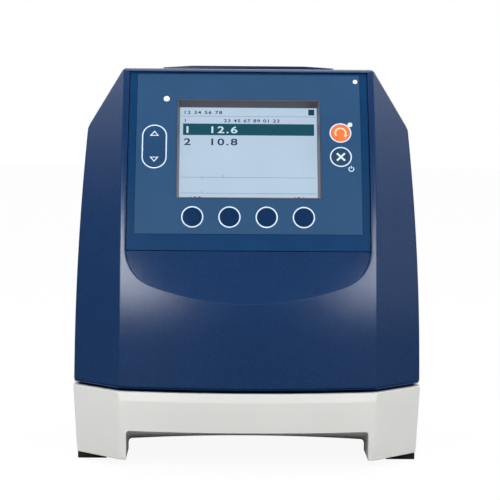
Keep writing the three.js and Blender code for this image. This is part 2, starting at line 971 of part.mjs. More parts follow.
const screenLean = Math.atan2(faceAt(screen.top) - faceAt(screen.bottom), screen.top - screen.bottom);
const screenFrame = frameOn(
  0,
  (faceAt(screen.top) + faceAt(screen.bottom)) / 2,
  (screen.top + screen.bottom) / 2,
  screenLean,
);
const screenHalfHeight = (screen.top - screen.bottom) / Math.cos(screenLean) / 2;
const boardBelow = screenHalfHeight + keyBoard.foot;
const boardAbove = screenHalfHeight + keyBoard.head;
const boardPostRows = [keyBoard.postInset - boardBelow, screenHalfHeight + keyBoard.postRise];

// A prism standing on a frame, from w0 to w1 along the frame's outward axis
function prismOn(frame, shape, w0, w1, segments) {
  const place = frame.clone().multiply(new THREE.Matrix4().makeTranslation(0, 0, w0));
  return extruded(shape, w1 - w0, place, segments);
}

// Distance from a point of the face, straight in, to the front of the key board
function depthToBoard(frame) {
  const origin = new THREE.Vector3().setFromMatrixPosition(frame);
  const inwards = new THREE.Vector3().setFromMatrixColumn(frame, 2).negate();
  const normal = new THREE.Vector3().setFromMatrixColumn(screenFrame, 2);
  const centre = new THREE.Vector3().setFromMatrixPosition(screenFrame);
  const onBoard = centre.addScaledVector(normal, -keyBoard.behind);
  return onBoard.sub(origin).dot(normal) / inwards.dot(normal);
}

const keyPlaces = [
  ...Array.from({ length: softKey.count }, (_, i) => ({
    name: `soft_key_${i + 1}`,
    x: softKey.first + softKey.pitch * i,
    height: film.bottom + softKey.rise,
    material: finish.navy,
  })),
  {
    name: "start_key",
    x: film.half - columnKey.inset,
    height: screen.top - columnKey.startDrop,
    material: finish.orange,
  },
  {
    name: "escape_key",
    x: film.half - columnKey.inset,
    height: screen.top - columnKey.escapeDrop,
    material: finish.navy,
  },
];
const rockerX = rocker.inset - film.half;
const rockerFrame = faceFrame(rockerX, screen.top - rocker.drop);
const rockerShape = (gap) => stadium(rocker.half + gap, rocker.length - rocker.half * 2);

// The volume behind the panel's face, moved back by offset
function behindFace(offset) {
  const low = panel.smileBottom;
  const levels = spread(topHeight, low, faces.profile);
  const face = levels.map((z) => [faceAt(z) + offset, z]);
  return extrudeX(outline([...face, [rearY, low], [rearY, topHeight]]), -frontHalf, frontHalf);
}

// Holes through the panel and the film for every key and light
function controlCuts() {
  const reach = panel.thickness + overrun;
  const holes = keyPlaces.map(({ x, height }) =>
    prismOn(faceFrame(x, height), disc(0, 0, key.cap + key.gap), -reach, overrun),
  );
  const lights = light.map(({ x, height, radius }) =>
    prismOn(faceFrame(x, height), disc(0, 0, radius + fit), -reach, overrun, faces.small),
  );
  const slot = prismOn(rockerFrame, rockerShape(running), -reach, overrun, faces.small);
  return [...holes, ...lights, slot];
}

function screenCut(gap) {
  const x = screen.half + screen.wall + gap;
  const y = screenHalfHeight + screen.wall + gap;
  return prismOn(screenFrame, rectangle(-x, x, -y, y), -screen.recess - overrun, screen.proud + overrun);
}

// Front panel, with lugs for the rocker and posts for the key board on its back

function slab(z0, z1, half, front, back) {
  const levels = spread(z0, z1, faces.profile);
  const near = levels.map((z) => [faceAt(z) + front, z]);
  const far = levels.map((z) => [faceAt(z) + back, z]).reverse();
  return extrudeX(outline([...far, ...near]), -half, half);
}

const lugInner = rocker.half + running * 2;
const lugOuter = lugInner + rocker.lugThickness;

function frontPanel() {
  const plate = slab(panel.seam + panel.gap, panel.top, panel.half, 0, panel.thickness);
  const filmPocket = slab(
    film.bottom - fit,
    film.top + fit,
    film.half + fit,
    -overrun,
    film.thickness + fit,
  );
  const back = panel.thickness / 2;
  const lugs = [-1, 1].map((side) => {
    const middle = (side * (lugInner + lugOuter)) / 2;
    const half = rocker.lugThickness / 2;
    const block = rectangle(middle - half, middle + half, -rocker.lugHalf, rocker.lugHalf);
    return prismOn(rockerFrame, block, -rocker.pinDepth - rocker.lugHalf, -back);
  });
  const postX = keyBoard.half - keyBoard.postInset;
  const posts = [-1, 1].flatMap((side) =>
    boardPostRows.map((y) =>
      prismOn(
        screenFrame,
        disc(side * postX, y, keyBoard.postRadius),
        -keyBoard.behind + fit,
        0,
        faces.small,
      ),
    ),
  );
  const behind = behindFace(film.thickness + fit + film.thickness);
  const ribs = [...lugs, ...posts].map((rib) => rib.intersect(behind));
  const pinBore = rocker.pinRadius + fit;
  const bore = rodX(
    rockerX - lugOuter - overrun,
    rockerX + lugOuter + overrun,
    rockerPin().y,
    rockerPin().z,
    pinBore,
  );
  return cut(join(plate, ...ribs), filmPocket, screenCut(fit), ...controlCuts(), bore);
}

// Where the rocker's pin crosses the middle plane of the rocker
function rockerPin() {
  return new THREE.Vector3(0, 0, -rocker.pinDepth).applyMatrix4(rockerFrame);
}

piece("front_panel", frontPanel(), finish.blue);
piece(
  "overlay_film",
  cut(slab(film.bottom, film.top, film.half, 0, film.thickness), screenCut(fit), ...controlCuts()),
  finish.film,
);

// Screen frame: a tapered window with a flange behind the panel
function displayBezel() {
  const x = screen.half;
  const y = screenHalfHeight;
  const tip = screen.proud / screen.recess;
  const corners = (half, high, w) =>
    [[-half, -high], [half, -high], [half, high], [-half, high]].map(([u, v]) =>
      new THREE.Vector3(u, v, w).applyMatrix4(screenFrame),
    );
  const grow = screen.taper * tip;
  const opening = loft(
    [
      corners(x - screen.taper, y - screen.taper, -screen.recess - overrun),
      corners(x - screen.taper, y - screen.taper, -screen.recess),
      corners(x + grow, y + grow, screen.proud),
    ],
    (point) => new THREE.Vector2(point.x, point.z),
  );
  const rim = x + screen.wall;
  const rimY = y + screen.wall;
  const tube = prismOn(screenFrame, rectangle(-rim, rim, -rimY, rimY), -screen.recess, screen.proud);
  const flangeX = rim + screen.flange;
  const flangeY = rimY + screen.flange;
  const flange = prismOn(
    screenFrame,
    rectangle(-flangeX, flangeX, -flangeY, flangeY),
    -screen.recess,
    -screen.recess + screen.flangeThickness,
  ).intersect(behindFace(panel.thickness + fit));
  return cut(join(tube.intersect(behindFace(0)), flange), opening);
}

piece("display_bezel", displayBezel(), finish.taupe);

const glassFront = -screen.recess - fit;
const glassBack = glassFront - screen.glassThickness;
const moduleX = screen.half + screen.wall + screen.flange;
const moduleY = screenHalfHeight + screen.wall + screen.flange;

function plateOn(frame, x, y, w0, w1) {
  return prismOn(frame, rectangle(-x, x, -y, y), w0, w1);
}

piece(
  "display_glass",
  plateOn(
    screenFrame,
    moduleX - screen.moduleRim - fit,
    moduleY - screen.moduleRim - fit,
    glassBack,
    glassFront,
  ),
  finish.glass,
);

// Display with a metal rim round the glass
function displayModule() {
  const moduleFront = glassBack - fit;
  const block = plateOn(screenFrame, moduleX, moduleY, moduleFront - screen.moduleThickness, glassFront);
  const nest = plateOn(
    screenFrame,
    moduleX - screen.moduleRim,
    moduleY - screen.moduleRim,
    moduleFront,
    glassFront + overrun,
  );
  return cut(block, nest);
}

piece("display_module", displayModule(), finish.steel);

// Key board: a frame round the display, with a switch behind each key
function keypadBoard() {
  const w = -keyBoard.behind;
  const sheet = prismOn(
    screenFrame,
    rectangle(-keyBoard.half, keyBoard.half, -boardBelow, boardAbove),
    w - keyBoard.thickness,
    w,
  );
  const hole = plateOn(
    screenFrame,
    moduleX + running,
    moduleY + running,
    w - keyBoard.thickness - overrun,
    w + overrun,
  );
  const switchOn = (frame, y, reach) =>
    prismOn(
      frame,
      disc(0, y, key.switchRadius),
      -reach - keyBoard.thickness / 2,
      -reach + key.switchHeight,
      faces.small,
    );
  const switches = keyPlaces.map(({ x, height }) => {
    const frame = faceFrame(x, height);
    return switchOn(frame, 0, depthToBoard(frame));
  });
  const rockerSwitches = [-1, 1].map((side) =>
    switchOn(rockerFrame, side * rocker.plungerOffset, rockerReach(side)),
  );
  const trimmed = [...switches, ...rockerSwitches].map((button) => button.intersect(ahead()));
  return cut(join(sheet, ...trimmed), hole);
}

// Depth from the rocker's face to the key board at its upper or lower plunger
function rockerReach(side) {
  const spot = new THREE.Matrix4().makeTranslation(0, side * rocker.plungerOffset, 0);
  return depthToBoard(rockerFrame.clone().multiply(spot));
}

// The volume ahead of the key board's back
function ahead() {
  return plateOn(screenFrame, depth, depth, -keyBoard.behind - keyBoard.thickness, depth);
}

piece("keypad_board", keypadBoard(), finish.board);

// Keys: a cap whose face follows the panel, a flange behind the panel and a stem over the switch
function keySolid(x, height) {
  const frame = faceFrame(x, height);
  const reach = depthToBoard(frame);
  const flangeTop = -panel.thickness - fit;
  const flangeBottom = flangeTop - key.flange;
  const flangeRadius = key.cap + key.gap + key.flangeWidth;
  const cap = prismOn(frame, disc(0, 0, key.cap), flangeBottom, overrun).intersect(behindFace(-key.proud));
  const flange = prismOn(frame, disc(0, 0, flangeRadius), flangeBottom, flangeTop);
  const stem = prismOn(
    frame,
    disc(0, 0, key.stem),
    -reach + key.switchHeight + key.dome,
    flangeTop,
    faces.small,
  );
  return join(cap, flange, stem);
}

for (const { name, x, height, material } of keyPlaces) {
  piece(name, keySolid(x, height), material);
}

// Scroll rocker, tilting on its pin
function rockerSolid() {
  const deep = -rocker.pinDepth - rocker.body / 2;
  const cap = prismOn(rockerFrame, rockerShape(0), -rocker.body, overrun, faces.small).intersect(
    behindFace(-key.proud),
  );
  const hub = rectangle(-rocker.half, rocker.half, -rocker.body / 2, rocker.body / 2);
  const web = prismOn(rockerFrame, hub, deep, -rocker.body / 2);
  const plungers = [-1, 1].map((side) => {
    const tip = -rockerReach(side) + key.switchHeight + key.dome;
    const spot = disc(0, side * rocker.plungerOffset, key.stem);
    return prismOn(rockerFrame, spot, tip, -rocker.body / 2, faces.small);
  });
  const pin = rockerPin();
  const bore = rodX(rockerX - depth, rockerX + depth, pin.y, pin.z, rocker.pinRadius + fit);
  return cut(join(cap, web, ...plungers), bore);
}

piece("scroll_rocker", rockerSolid(), finish.film);
piece(
  "rocker_pin",
  rodX(rockerX - lugOuter, rockerX + lugOuter, rockerPin().y, rockerPin().z, rocker.pinRadius),
  finish.steel,
);

// Light pipes, from the face of the film to the key board
for (const { name, x, height, radius } of light) {
  const frame = faceFrame(x, height);
  const reach = depthToBoard(frame) - pipe.clear;
  const rod = prismOn(frame, disc(0, 0, radius), -reach, overrun, faces.small).intersect(behindFace(0));
  const shoulderTop = -panel.thickness - fit * 2;
  const shoulder = prismOn(
    frame,
    disc(0, 0, radius + pipe.shoulder),
    shoulderTop - pipe.shoulderHeight,
    shoulderTop,
    faces.small,
  );
  piece(name, join(rod, shoulder), finish.clear);
}

// Hopper lid: low crown, a rim that enters the funnel and two knuckles round the pin
function hopperLid() {
  const low = topHeight + fit;
  const rimTop = low + lid.edge;
  const crownTop = topHeight + lid.crown;
  const section = [
    [-lid.half, low],
    [lid.half, low],
    [lid.half, rimTop],
    [lid.crownHalf, crownTop],
    [-lid.crownHalf, crownTop],
    [-lid.half, rimTop],
  ];
  const plate = extrudeY(outline(section), lid.front, lid.rear);
  const rimX = funnel.mouthHalf - funnel.wall - running * 2;
  const rimFront = funnel.mouthFront + funnel.wall + running * 2;
  const rimRear = funnel.mouthRear - funnel.wall - running * 2;
  const rimLow = topHeight - lid.rimDepth;
  const rim = cut(
    box(-rimX, rimX, rimFront, rimRear, rimLow, low + lid.edge / 2),
    box(
      -rimX + lid.rimWall,
      rimX - lid.rimWall,
      rimFront + lid.rimWall,
      rimRear - lid.rimWall,
      rimLow - overrun,
      low,
    ),
  );
  const knuckles = [-1, 1].map((side) => {
    const x0 = side * lid.knuckleCentre - lid.knuckleWidth / 2;
    const x1 = x0 + lid.knuckleWidth;
    const barrel = rodX(x0, x1, hinge.y, hingeAxisZ(), lid.knuckleRadius, faces.small);
    const arm = box(x0, x1, lid.rear - overrun, hinge.y, low, rimTop);
    const web = box(x0, x1, hinge.y - lid.knuckleRadius, hinge.y, hingeAxisZ(), rimTop);
    return join(barrel, arm, web);
  });
  const bore = rodX(-depth, depth, hinge.y, hingeAxisZ(), hinge.pinRadius + fit);
  return cut(join(plate, rim, ...knuckles), bore);
}

piece("hopper_lid", hopperLid(), finish.blue);
piece(
  "lid_hinge_pin",
  rodX(-hinge.blockHalf + fit, hinge.blockHalf - fit, hinge.y, hingeAxisZ(), hinge.pinRadius),
  finish.steel,
);

// Heights along the grain path
const chassisTop = chassisBottom + chassis.thickness;
const chuteFlangeTop = chassisTop + fit + chute.flangeThickness;
const feederBottom = chuteFlangeTop + fit;
const benchBottom = bench.top - bench.thickness;
const feederTop = benchBottom - fit;
const cellBottom = bench.top + fit;
const cellTop = cellBottom + cell.height;

// Funnel: rectangular rings with cut corners, inside and outside
function funnelSolid() {
  const flangeTop = topHeight - funnel.seat + fit + funnel.flangeThickness;
  const flangeBottom = flangeTop - funnel.flangeThickness;
  const midY = (funnel.mouthFront + funnel.mouthRear) / 2;
  const mouthY = (funnel.mouthRear - funnel.mouthFront) / 2;
  const ring = (z, x, halfY, y, corner) =>
    [
      [-x + corner, -halfY],
      [x - corner, -halfY],
      [x, -halfY + corner],
      [x, halfY - corner],
      [x - corner, halfY],
      [-x + corner, halfY],
      [-x, halfY - corner],
      [-x, -halfY + corner],
    ].map(([u, v]) => new THREE.Vector3(u, y + v, z));
  const small = funnel.wall / 2;
  const neckBottom = cellTop + fit;
  const neckTop = neckBottom + funnel.neck;
  const straight = flangeBottom - funnel.straight;
  const wide = funnel.flange - fit;
  const outside = loft(
    [
      ring(neckBottom, path.half + funnel.wall, path.reach + funnel.wall, path.y, small),
      ring(neckTop, path.half + funnel.wall, path.reach + funnel.wall, path.y, small),
      ring(straight, funnel.mouthHalf - fit, mouthY - fit, midY, small),
      ring(flangeBottom, funnel.mouthHalf - fit, mouthY - fit, midY, small),
    ],
    fromAbove,
  );
  const flange = loft(
    [
      ring(flangeBottom, funnel.mouthHalf + wide, mouthY + wide, midY, small),
      ring(flangeTop, funnel.mouthHalf + wide, mouthY + wide, midY, small),
    ],
    fromAbove,
  );
  const inX = funnel.mouthHalf - fit - funnel.wall + fit;
  const inY = mouthY - fit - funnel.wall + fit;
  const inside = loft(
    [
      ring(neckBottom - overrun, path.half, path.reach, path.y, small / 2),
      ring(neckTop, path.half, path.reach, path.y, small / 2),
      ring(straight, inX, inY, midY, small),
      ring(flangeTop + overrun, inX, inY, midY, small),
    ],
    fromAbove,
  );
  return cut(join(outside, flange), inside);
}

piece("hopper_funnel", funnelSolid(), finish.black);

// Chassis plate with posts for the main board
function chassisPlate() {
  const inset = base.wall + fit + housing.lip + chassis.margin;
  const at = (z) => planRing(z, baseHalfAt(housing.lipBottom), 0, frontBow, inset, base.bevel);
  const plate = loft([at(chassisBottom), at(chassisTop)], fromAbove);
  const postX = board.half - board.postInset;
  const posts = [-1, 1].flatMap((side) =>
    [board.front + board.postInset, board.rear - board.postInset].map((y) =>
      rodZ(chassisTop - chassis.thickness / 2, chassisTop + board.lift, side * postX, y, board.postRadius),
    ),
  );
  return cut(join(plate, ...posts), chuteCut(chassisBottom - overrun, chassisTop + overrun, running));
}

piece("chassis_plate", chassisPlate(), finish.steel);

// Optics bench: a bridge over the feeder
function opticsBench() {
  const section = [
    [-bench.left, chassisTop + fit],
    [-bench.left + bench.thickness, chassisTop + fit],
    [-bench.left + bench.thickness, benchBottom],
    [bench.right - bench.thickness, benchBottom],
    [bench.right - bench.thickness, chassisTop + fit],
    [bench.right, chassisTop + fit],
    [bench.right, bench.top],
    [-bench.left, bench.top],
  ];
  const bridge = extrudeY(outline(section), path.y - bench.reach, path.y + bench.reach);
  const hole = box(
    -path.half,
    path.half,
    path.y - path.reach,
    path.y + path.reach,
    benchBottom - overrun,
    bench.top + overrun,
  );
  return cut(bridge, hole);
}

piece("optics_bench", opticsBench(), finish.aluminium);

// Sample cell: a block with the grain channel through it and a window on each side
const cellHalf = path.half + cell.wallX;

function cellBlock() {
  const halfY = path.reach + cell.wallY;
  const block = box(-cellHalf, cellHalf, path.y - halfY, path.y + halfY, cellBottom, cellTop);
  const channel = box(
    -path.half,
    path.half,
    path.y - path.reach,
    path.y + path.reach,
    cellBottom - overrun,
    cellTop + overrun,
  );
  const sightEnd = cellHalf + overrun;
  const sight = rodX(-sightEnd, sightEnd, path.y, opticAxis, cell.holeRadius, faces.round);
  const seats = [-1, 1].map((side) => {
    const inner = side * (cellHalf - cell.windowThickness - fit);
    const outer = side * (cellHalf + overrun);
    return rodX(
      Math.min(inner, outer),
      Math.max(inner, outer),
      path.y,
      opticAxis,
      cell.windowRadius + fit,
      faces.round,
    );
  });
  return cut(block, channel, sight, ...seats);
}

piece("sample_cell", cellBlock(), finish.aluminium);
for (const [name, side] of [["cell_window_left", -1], ["cell_window_right", 1]]) {
  const outer = side * cellHalf;
  const inner = side * (cellHalf - cell.windowThickness);
  const pane = rodX(
    Math.min(inner, outer),
    Math.max(inner, outer),
    path.y,
    opticAxis,
    cell.windowRadius,
    faces.round,
  );
  piece(name, pane, finish.glass);
}

// Feeder housing: a round chamber for the wheel, open to the front, with the channel above and below
const feederFront = path.y - path.reach - feederHousing.wallY;
const feederRear = path.y + path.reach + feederHousing.wallY;

function feederBody() {
  const side = feederHousing.half;
  const block = box(-side, side, feederFront, feederRear, feederBottom, feederTop);
  const chamber = rodY(
    feederFront - overrun,
    path.y + path.reach,
    0,
    wheel.height,
    wheel.chamber,
    faces.round,
  );
  const channel = box(
    -path.half,
    path.half,
    path.y - path.reach,
    path.y + path.reach,
    feederBottom - overrun,
    feederTop + overrun,
  );
  const seatFront = feederRear - bush.length;
  const bearingSeat = rodY(seatFront, feederRear + overrun, 0, wheel.height, bush.radius + fit);
  const shaftHole = rodY(feederFront, feederRear, 0, wheel.height, wheel.shaft + running);
  return cut(block, chamber, channel, bearingSeat, shaftHole);
}

piece("feeder_housing", feederBody(), finish.black);

// Cover of the chamber, with a plug that closes its front and holds the front bush
const coverFront = feederFront - fit - wheel.endPlate;

function feederCover() {
  const plate = box(
    -feederHousing.half,
    feederHousing.half,
    coverFront,
    feederFront - fit,
    feederBottom,
    feederTop,
  );
  const plug = rodY(
    feederFront - fit * 2,
    path.y - path.reach - fit,
    0,
    wheel.height,
    wheel.chamber - fit,
    faces.round,
  );
  const seat = rodY(coverFront - overrun, coverFront + bush.length, 0, wheel.height, bush.radius + fit);
  const hole = rodY(coverFront, path.y, 0, wheel.height, wheel.shaft + running);
  return cut(join(plate, plug), seat, hole);
}

piece("feeder_cover", feederCover(), finish.black);

function bushSolid(y0) {
  const shape = disc(0, wheel.height, bush.radius);
  shape.holes.push(disc(0, wheel.height, wheel.shaft + fit));
  return extrudeY(shape, y0, y0 + bush.length, faces.small);
}

piece("feeder_bush_front", bushSolid(coverFront), finish.brass);
piece("feeder_bush_rear", bushSolid(feederRear - bush.length), finish.brass);

// Paddle wheel on its shaft
function feederWheel() {
  const y0 = path.y - path.reach + running;
  const y1 = path.y + path.reach - running;
  const hub = rodY(y0, y1, 0, wheel.height, wheel.hub, faces.round);
  const blades = Array.from({ length: wheel.blades }, (_, i) => {
    const turn = new THREE.Matrix4().makeRotationY((Math.PI * 2 * i) / wheel.blades);
    const place = new THREE.Matrix4().makeTranslation(0, 0, wheel.height).multiply(turn);
    const half = wheel.bladeThickness / 2;
    return box(-half, half, y0, y1, wheel.hub / 2, wheel.radius, place);
  });
  const bore = rodY(y0 - overrun, y1 + overrun, 0, wheel.height, wheel.shaft + fit);
  return cut(join(hub, ...blades), bore);
}

piece("feeder_wheel", feederWheel(), finish.rubber);

const gearY0 = feederRear + gear.behind;
const gearY1 = gearY0 + gear.width;
const shaftEnd = gearY1 + gear.hubLength;
piece(
  "feeder_shaft",
  rodY(coverFront - fit, shaftEnd, 0, wheel.height, wheel.shaft),
  finish.steel,
);

// Spur gears with straight-sided teeth, thinner at the tip
function toothedOutline(teeth, u, v, phase) {
  const pitch = (teeth * gear.module) / 2;
  const tip = pitch + gear.module * gear.tipHeightShare;
  const root = pitch - gear.module * gear.rootDepthShare;
  const half = (Math.PI / teeth) * gear.toothHalfShare;
  const points = Array.from({ length: teeth }, (_, i) => {
    const middle = phase + (Math.PI * 2 * i) / teeth;
    return [
      [root, middle - half * gear.rootWidthShare],
      [tip, middle - half * gear.tipWidthShare],
      [tip, middle + half * gear.tipWidthShare],
      [root, middle + half * gear.rootWidthShare],
    ].map(([radius, angle]) => [u + radius * Math.cos(angle), v + radius * Math.sin(angle)]);
  });
  return outline(points.flat());
}

const centres = ((gear.teeth + pinion.teeth) * gear.module) / 2;
const motorX = centres;

function feederGear() {
  const shape = toothedOutline(gear.teeth, 0, wheel.height, 0);
  shape.holes.push(disc(0, wheel.height, wheel.shaft + fit));
  const hub = disc(0, wheel.height, gear.hub);
  hub.holes.push(disc(0, wheel.height, wheel.shaft + fit));
  return join(
    extrudeY(shape, gearY0, gearY1, faces.small),
    extrudeY(hub, gearY0 - gear.hubLength, gearY0 + gear.width / 2, faces.small),
  );
}

piece("feeder_gear", feederGear(), finish.brass);

const bracketFront = shaftEnd + fit * 2;
const bracketRear = bracketFront + bracket.thickness;
const motorFront = bracketRear + fit;

function motorPinion() {
  const halfTooth = Math.PI / pinion.teeth;
  const shape = toothedOutline(pinion.teeth, motorX, wheel.height, Math.PI + halfTooth);
  return join(
    extrudeY(shape, gearY0, gearY1),
    rodY(gearY0, motorFront + motor.engage, motorX, wheel.height, motor.shaft),
  );
}

piece("motor_pinion", motorPinion(), finish.steel);

// Motor bracket: an angle that stands on the chassis plate
function motorBracket() {
  const low = chassisTop + fit;
  const shape = rectangle(motorX - bracket.half, motorX + bracket.half, low, bracket.top);
  shape.holes.push(disc(motorX, wheel.height, motor.boss + running));
  const upright = extrudeY(shape, bracketFront, bracketRear);
  const shelf = box(
    motorX - bracket.half,
    motorX + bracket.half,
    bracketFront,
    bracketRear + bracket.foot,
    low,
    low + bracket.footThickness,
  );
  return join(upright, shelf);
}

piece("motor_bracket", motorBracket(), finish.steel);

function motorSolid() {
  const can = rodY(motorFront, motorFront + motor.length, motorX, wheel.height, motor.radius, faces.round);
  const boss = rodY(motorFront - motor.bossLength, motorFront + overrun, motorX, wheel.height, motor.boss);
  const bore = rodY(
    motorFront - motor.bossLength - overrun,
    motorFront + motor.boreDepth,
    motorX,
    wheel.height,
    motor.shaft + fit,
  );
  return cut(join(can, boss), bore);
}

piece("feeder_motor", motorSolid(), finish.steel);

// Outlet chute, hanging in the chassis plate and reaching into the bay
function outletChute() {
  const tubeTop = chassisTop + fit;
  const tube = chuteCut(chute.bottom, tubeTop + chute.flangeThickness / 2, 0);
  const x = path.half + chute.wall + chute.flange;
  const y = path.reach + chute.wall + chute.flange;
  const flange = box(-x, x, path.y - y, path.y + y, tubeTop, chuteFlangeTop);
  const bore = chuteCut(chute.bottom - overrun, chuteFlangeTop + overrun, -chute.wall);
  return cut(join(tube, flange), bore);
}

piece("outlet_chute", outletChute(), finish.black);

// Lamp side of the optics
const holderRight = -cellHalf - fit;
const holderLeft = holderRight - lampHolder.length;

function lampHolderSolid() {
  const block = box(
    holderLeft,
    holderRight,
    path.y - lampHolder.half,
    path.y + lampHolder.half,
    cellBottom,
    cellBottom + lampHolder.height,
  );
  const boreEnd = holderRight + overrun;
  const bore = rodX(holderLeft - overrun, boreEnd, path.y, opticAxis, lampHolder.bore, faces.round);
  return cut(block, bore);
}

piece("lamp_holder", lampHolderSolid(), finish.aluminium);

// Lens: flat towards the cell and domed towards the lamp
function lensSolid() {
  const rim = lens.radius;
  const rise = lens.thickness - lens.edge;
  const dome = Array.from({ length: faces.small / 2 }, (_, i) => {
    const share = i / (faces.small / 2);
    return new THREE.Vector2(rim * (1 - share), lens.edge + rise * (1 - (1 - share) ** 2));
  });
  const back = [new THREE.Vector2(0, 0), new THREE.Vector2(rim, 0)];
  const profile = [...back, ...dome, new THREE.Vector2(0, lens.thickness)];
  const turned = new THREE.LatheGeometry(profile, faces.round * 2);
  const flatFace = new THREE.Vector3(holderRight - lens.offset, path.y, opticAxis);
  const place = axes(alongZ, alongX.clone().negate(), alongY.clone().negate(), flatFace);
  return solidOf(turned, place);
}

piece("lamp_lens", lensSolid(), finish.clear);

function lampSolid() {
  const start = holderLeft + lamp.back;
  const baseEnd = start + lamp.baseLength;
  return join(
    rodX(start, baseEnd, path.y, opticAxis, lamp.base, faces.round),
    rodX(baseEnd - fit, baseEnd + lamp.bulbLength, path.y, opticAxis, lamp.bulb),
  );
}

piece("halogen_lamp", lampSolid(), finish.clear);

// Spectrometer with its snout at the cell's window and a lid on top
function spectrometerSolid() {
  const left = cellHalf + spectrometer.start;
  const right = bench.right - spectrometer.benchGap;
  const top = cellBottom + spectrometer.height;
  const inset = spectrometer.coverInset;
  const near = path.y - spectrometer.ahead;
  const far = path.y + spectrometer.behind;
  return join(
    box(left, right, near, far, cellBottom, top),
    box(
      left + inset,
      right - inset,
      near + inset,
      far - inset,
      top - overrun,
      top + spectrometer.cover,
    ),
    rodX(cellHalf + fit, left + overrun, path.y, opticAxis, spectrometer.snout, faces.round),
  );
}

piece("spectrometer", spectrometerSolid(), finish.black);

// Main board on the posts of the chassis plate
const boardBottom = chassisTop + board.lift + fit;
const boardTop = boardBottom + board.thickness;

function mainBoard() {
  const sheet = box(-board.half, board.half, board.front, board.rear, boardBottom, boardTop);
  const middle = (board.front + board.rear) / 2;
  const low = boardBottom + board.thickness / 2;
  const chips = [-1, 1].map((side) =>
    box(
      side * board.chip * 2 - board.chip / 2,
      side * board.chip * 2 + board.chip / 2,
      middle - board.chip / 2,
      middle + board.chip / 2,
      low,
      boardTop + board.chipHeight,
    ),
  );
  const coils = [-1, 0, 1].map((place) =>
    box(
      place * board.coil * 2 - board.coil / 2,
      place * board.coil * 2 + board.coil / 2,
      board.front + board.coil / 2,
      board.front + board.coil * 1.5,
      low,
      boardTop + board.coilHeight,
    ),
  );
  return join(sheet, ...chips, ...coils);
}

piece("main_board", mainBoard(), finish.board);

// Power supply: a box with slots in its lid
function powerSupply() {
  const low = chassisTop + fit;
  const top = low + supply.height;
  const near = path.y - supply.ahead;
  const block = box(supply.left, supply.right, near, path.y + supply.behind, low, top);
  const count = Math.floor((supply.ahead + supply.behind) / supply.slotPitch) - 1;
  const slots = Array.from({ length: count }, (_, i) => {
    const y = near + supply.slotPitch * (i + 1);
    return box(
      supply.left + supply.slotPitch,
      supply.right - supply.slotPitch,
      y,
      y + supply.slot,
      top - supply.slot,
      top + overrun,
    );
  });
  return cut(block, ...slots);
}

piece("power_supply", powerSupply(), finish.steel);

// Rear cover with a fan grille, vents and the openings of the sockets

const coverInner = rearY - cover.thickness - fit;
const coverOuter = rearY - fit;

function coverSolid() {
  const shape = roundedRectangle(-cover.half, cover.half, cover.bottom, cover.top, cover.corner);
  const middle = (grille.count - 1) / 2;
  for (let i = 0; i < grille.count; i += 1) {
    const z = fan.height + (i - middle) * grille.pitch;
    const half = Math.sqrt(fan.bore ** 2 - (z - fan.height) ** 2) - grille.slot / 2;
    shape.holes.push(rectangle(fan.x - half, fan.x + half, z - grille.slot / 2, z + grille.slot / 2));
  }
  for (let i = 0; i < vent.count; i += 1) {
    const z = vent.bottom + i * vent.pitch;
    shape.holes.push(rectangle(vent.x - vent.half, vent.x + vent.half, z, z + vent.slot));
  }
  for (const port of [inlet, socket]) {
    const x = port.half + fit;
    const z = port.halfHeight + fit;
    shape.holes.push(rectangle(port.x - x, port.x + x, port.height - z, port.height + z));
  }
  for (const [x, z] of coverScrews) shape.holes.push(disc(x, z, screw.shank + fit));
  const sinks = coverScrews.map(([x, z]) =>
    rodY(coverOuter - screw.headHeight - fit, coverOuter + overrun, x, z, screw.head + fit),
  );
  return cut(extrudeY(shape, coverInner, coverOuter, faces.few), ...sinks);
}

piece("rear_cover", coverSolid(), finish.blue);

coverScrews.forEach(([x, z], i) => {
  const seatY = coverInner - fit;
  const shank = rodY(seatY - screw.length, coverOuter, x, z, screw.shank, faces.few);
  const head = rodY(coverOuter - screw.headHeight, coverOuter, x, z, screw.head, faces.small);
  piece(`rear_screw_${i + 1}`, join(shank, head), finish.steel);
});

// A socket in the rear: a body through the cover, a flange behind it and an open front
function portShell(port) {
  const front = coverOuter - port.length;
  const body = box(
    port.x - port.half,
    port.x + port.half,
    front,
    coverOuter,
    port.height - port.halfHeight,
    port.height + port.halfHeight,
  );
  const flangeRear = coverInner - fit;
  const flange = box(
    port.x - port.half - port.flange,
    port.x + port.half + port.flange,
    flangeRear - port.flangeThickness,
    flangeRear,
    port.height - port.halfHeight - port.flange,
    port.height + port.halfHeight + port.flange,
  );
  const cavity = box(
    port.x - port.half + port.wall,
    port.x + port.half - port.wall,
    coverOuter - port.cavity,
    coverOuter + overrun,
    port.height - port.halfHeight + port.wall,
    port.height + port.halfHeight - port.wall,
  );
  return cut(join(body, flange), cavity);
}

function powerInlet() {
  const back = coverOuter - inlet.cavity - inlet.wall / 2;
  const pins = [-1, 0, 1].map((place) =>
    box(
      inlet.x + place * inlet.pinPitch - inlet.pin / 2,
      inlet.x + place * inlet.pinPitch + inlet.pin / 2,
      back,
      back + inlet.pinLength,
      inlet.height - inlet.pinHeight / 2,
      inlet.height + inlet.pinHeight / 2,
    ),
  );
  return join(portShell(inlet), ...pins);
}

piece("power_inlet", powerInlet(), finish.black);

function dataSocket() {
  const back = coverOuter - socket.cavity - socket.wall / 2;
  const x = socket.half - socket.wall * 2;
  const top = socket.height + socket.halfHeight - socket.wall;
  const tongue = box(socket.x - x, socket.x + x, back, coverOuter - socket.wall, top - socket.tongue, top);
  return join(portShell(socket), tongue);
}

piece("data_socket", dataSocket(), finish.steel);

// Fan on the inside of the cover
const fanRear = coverInner - fit;
const fanFront = fanRear - fan.thickness;

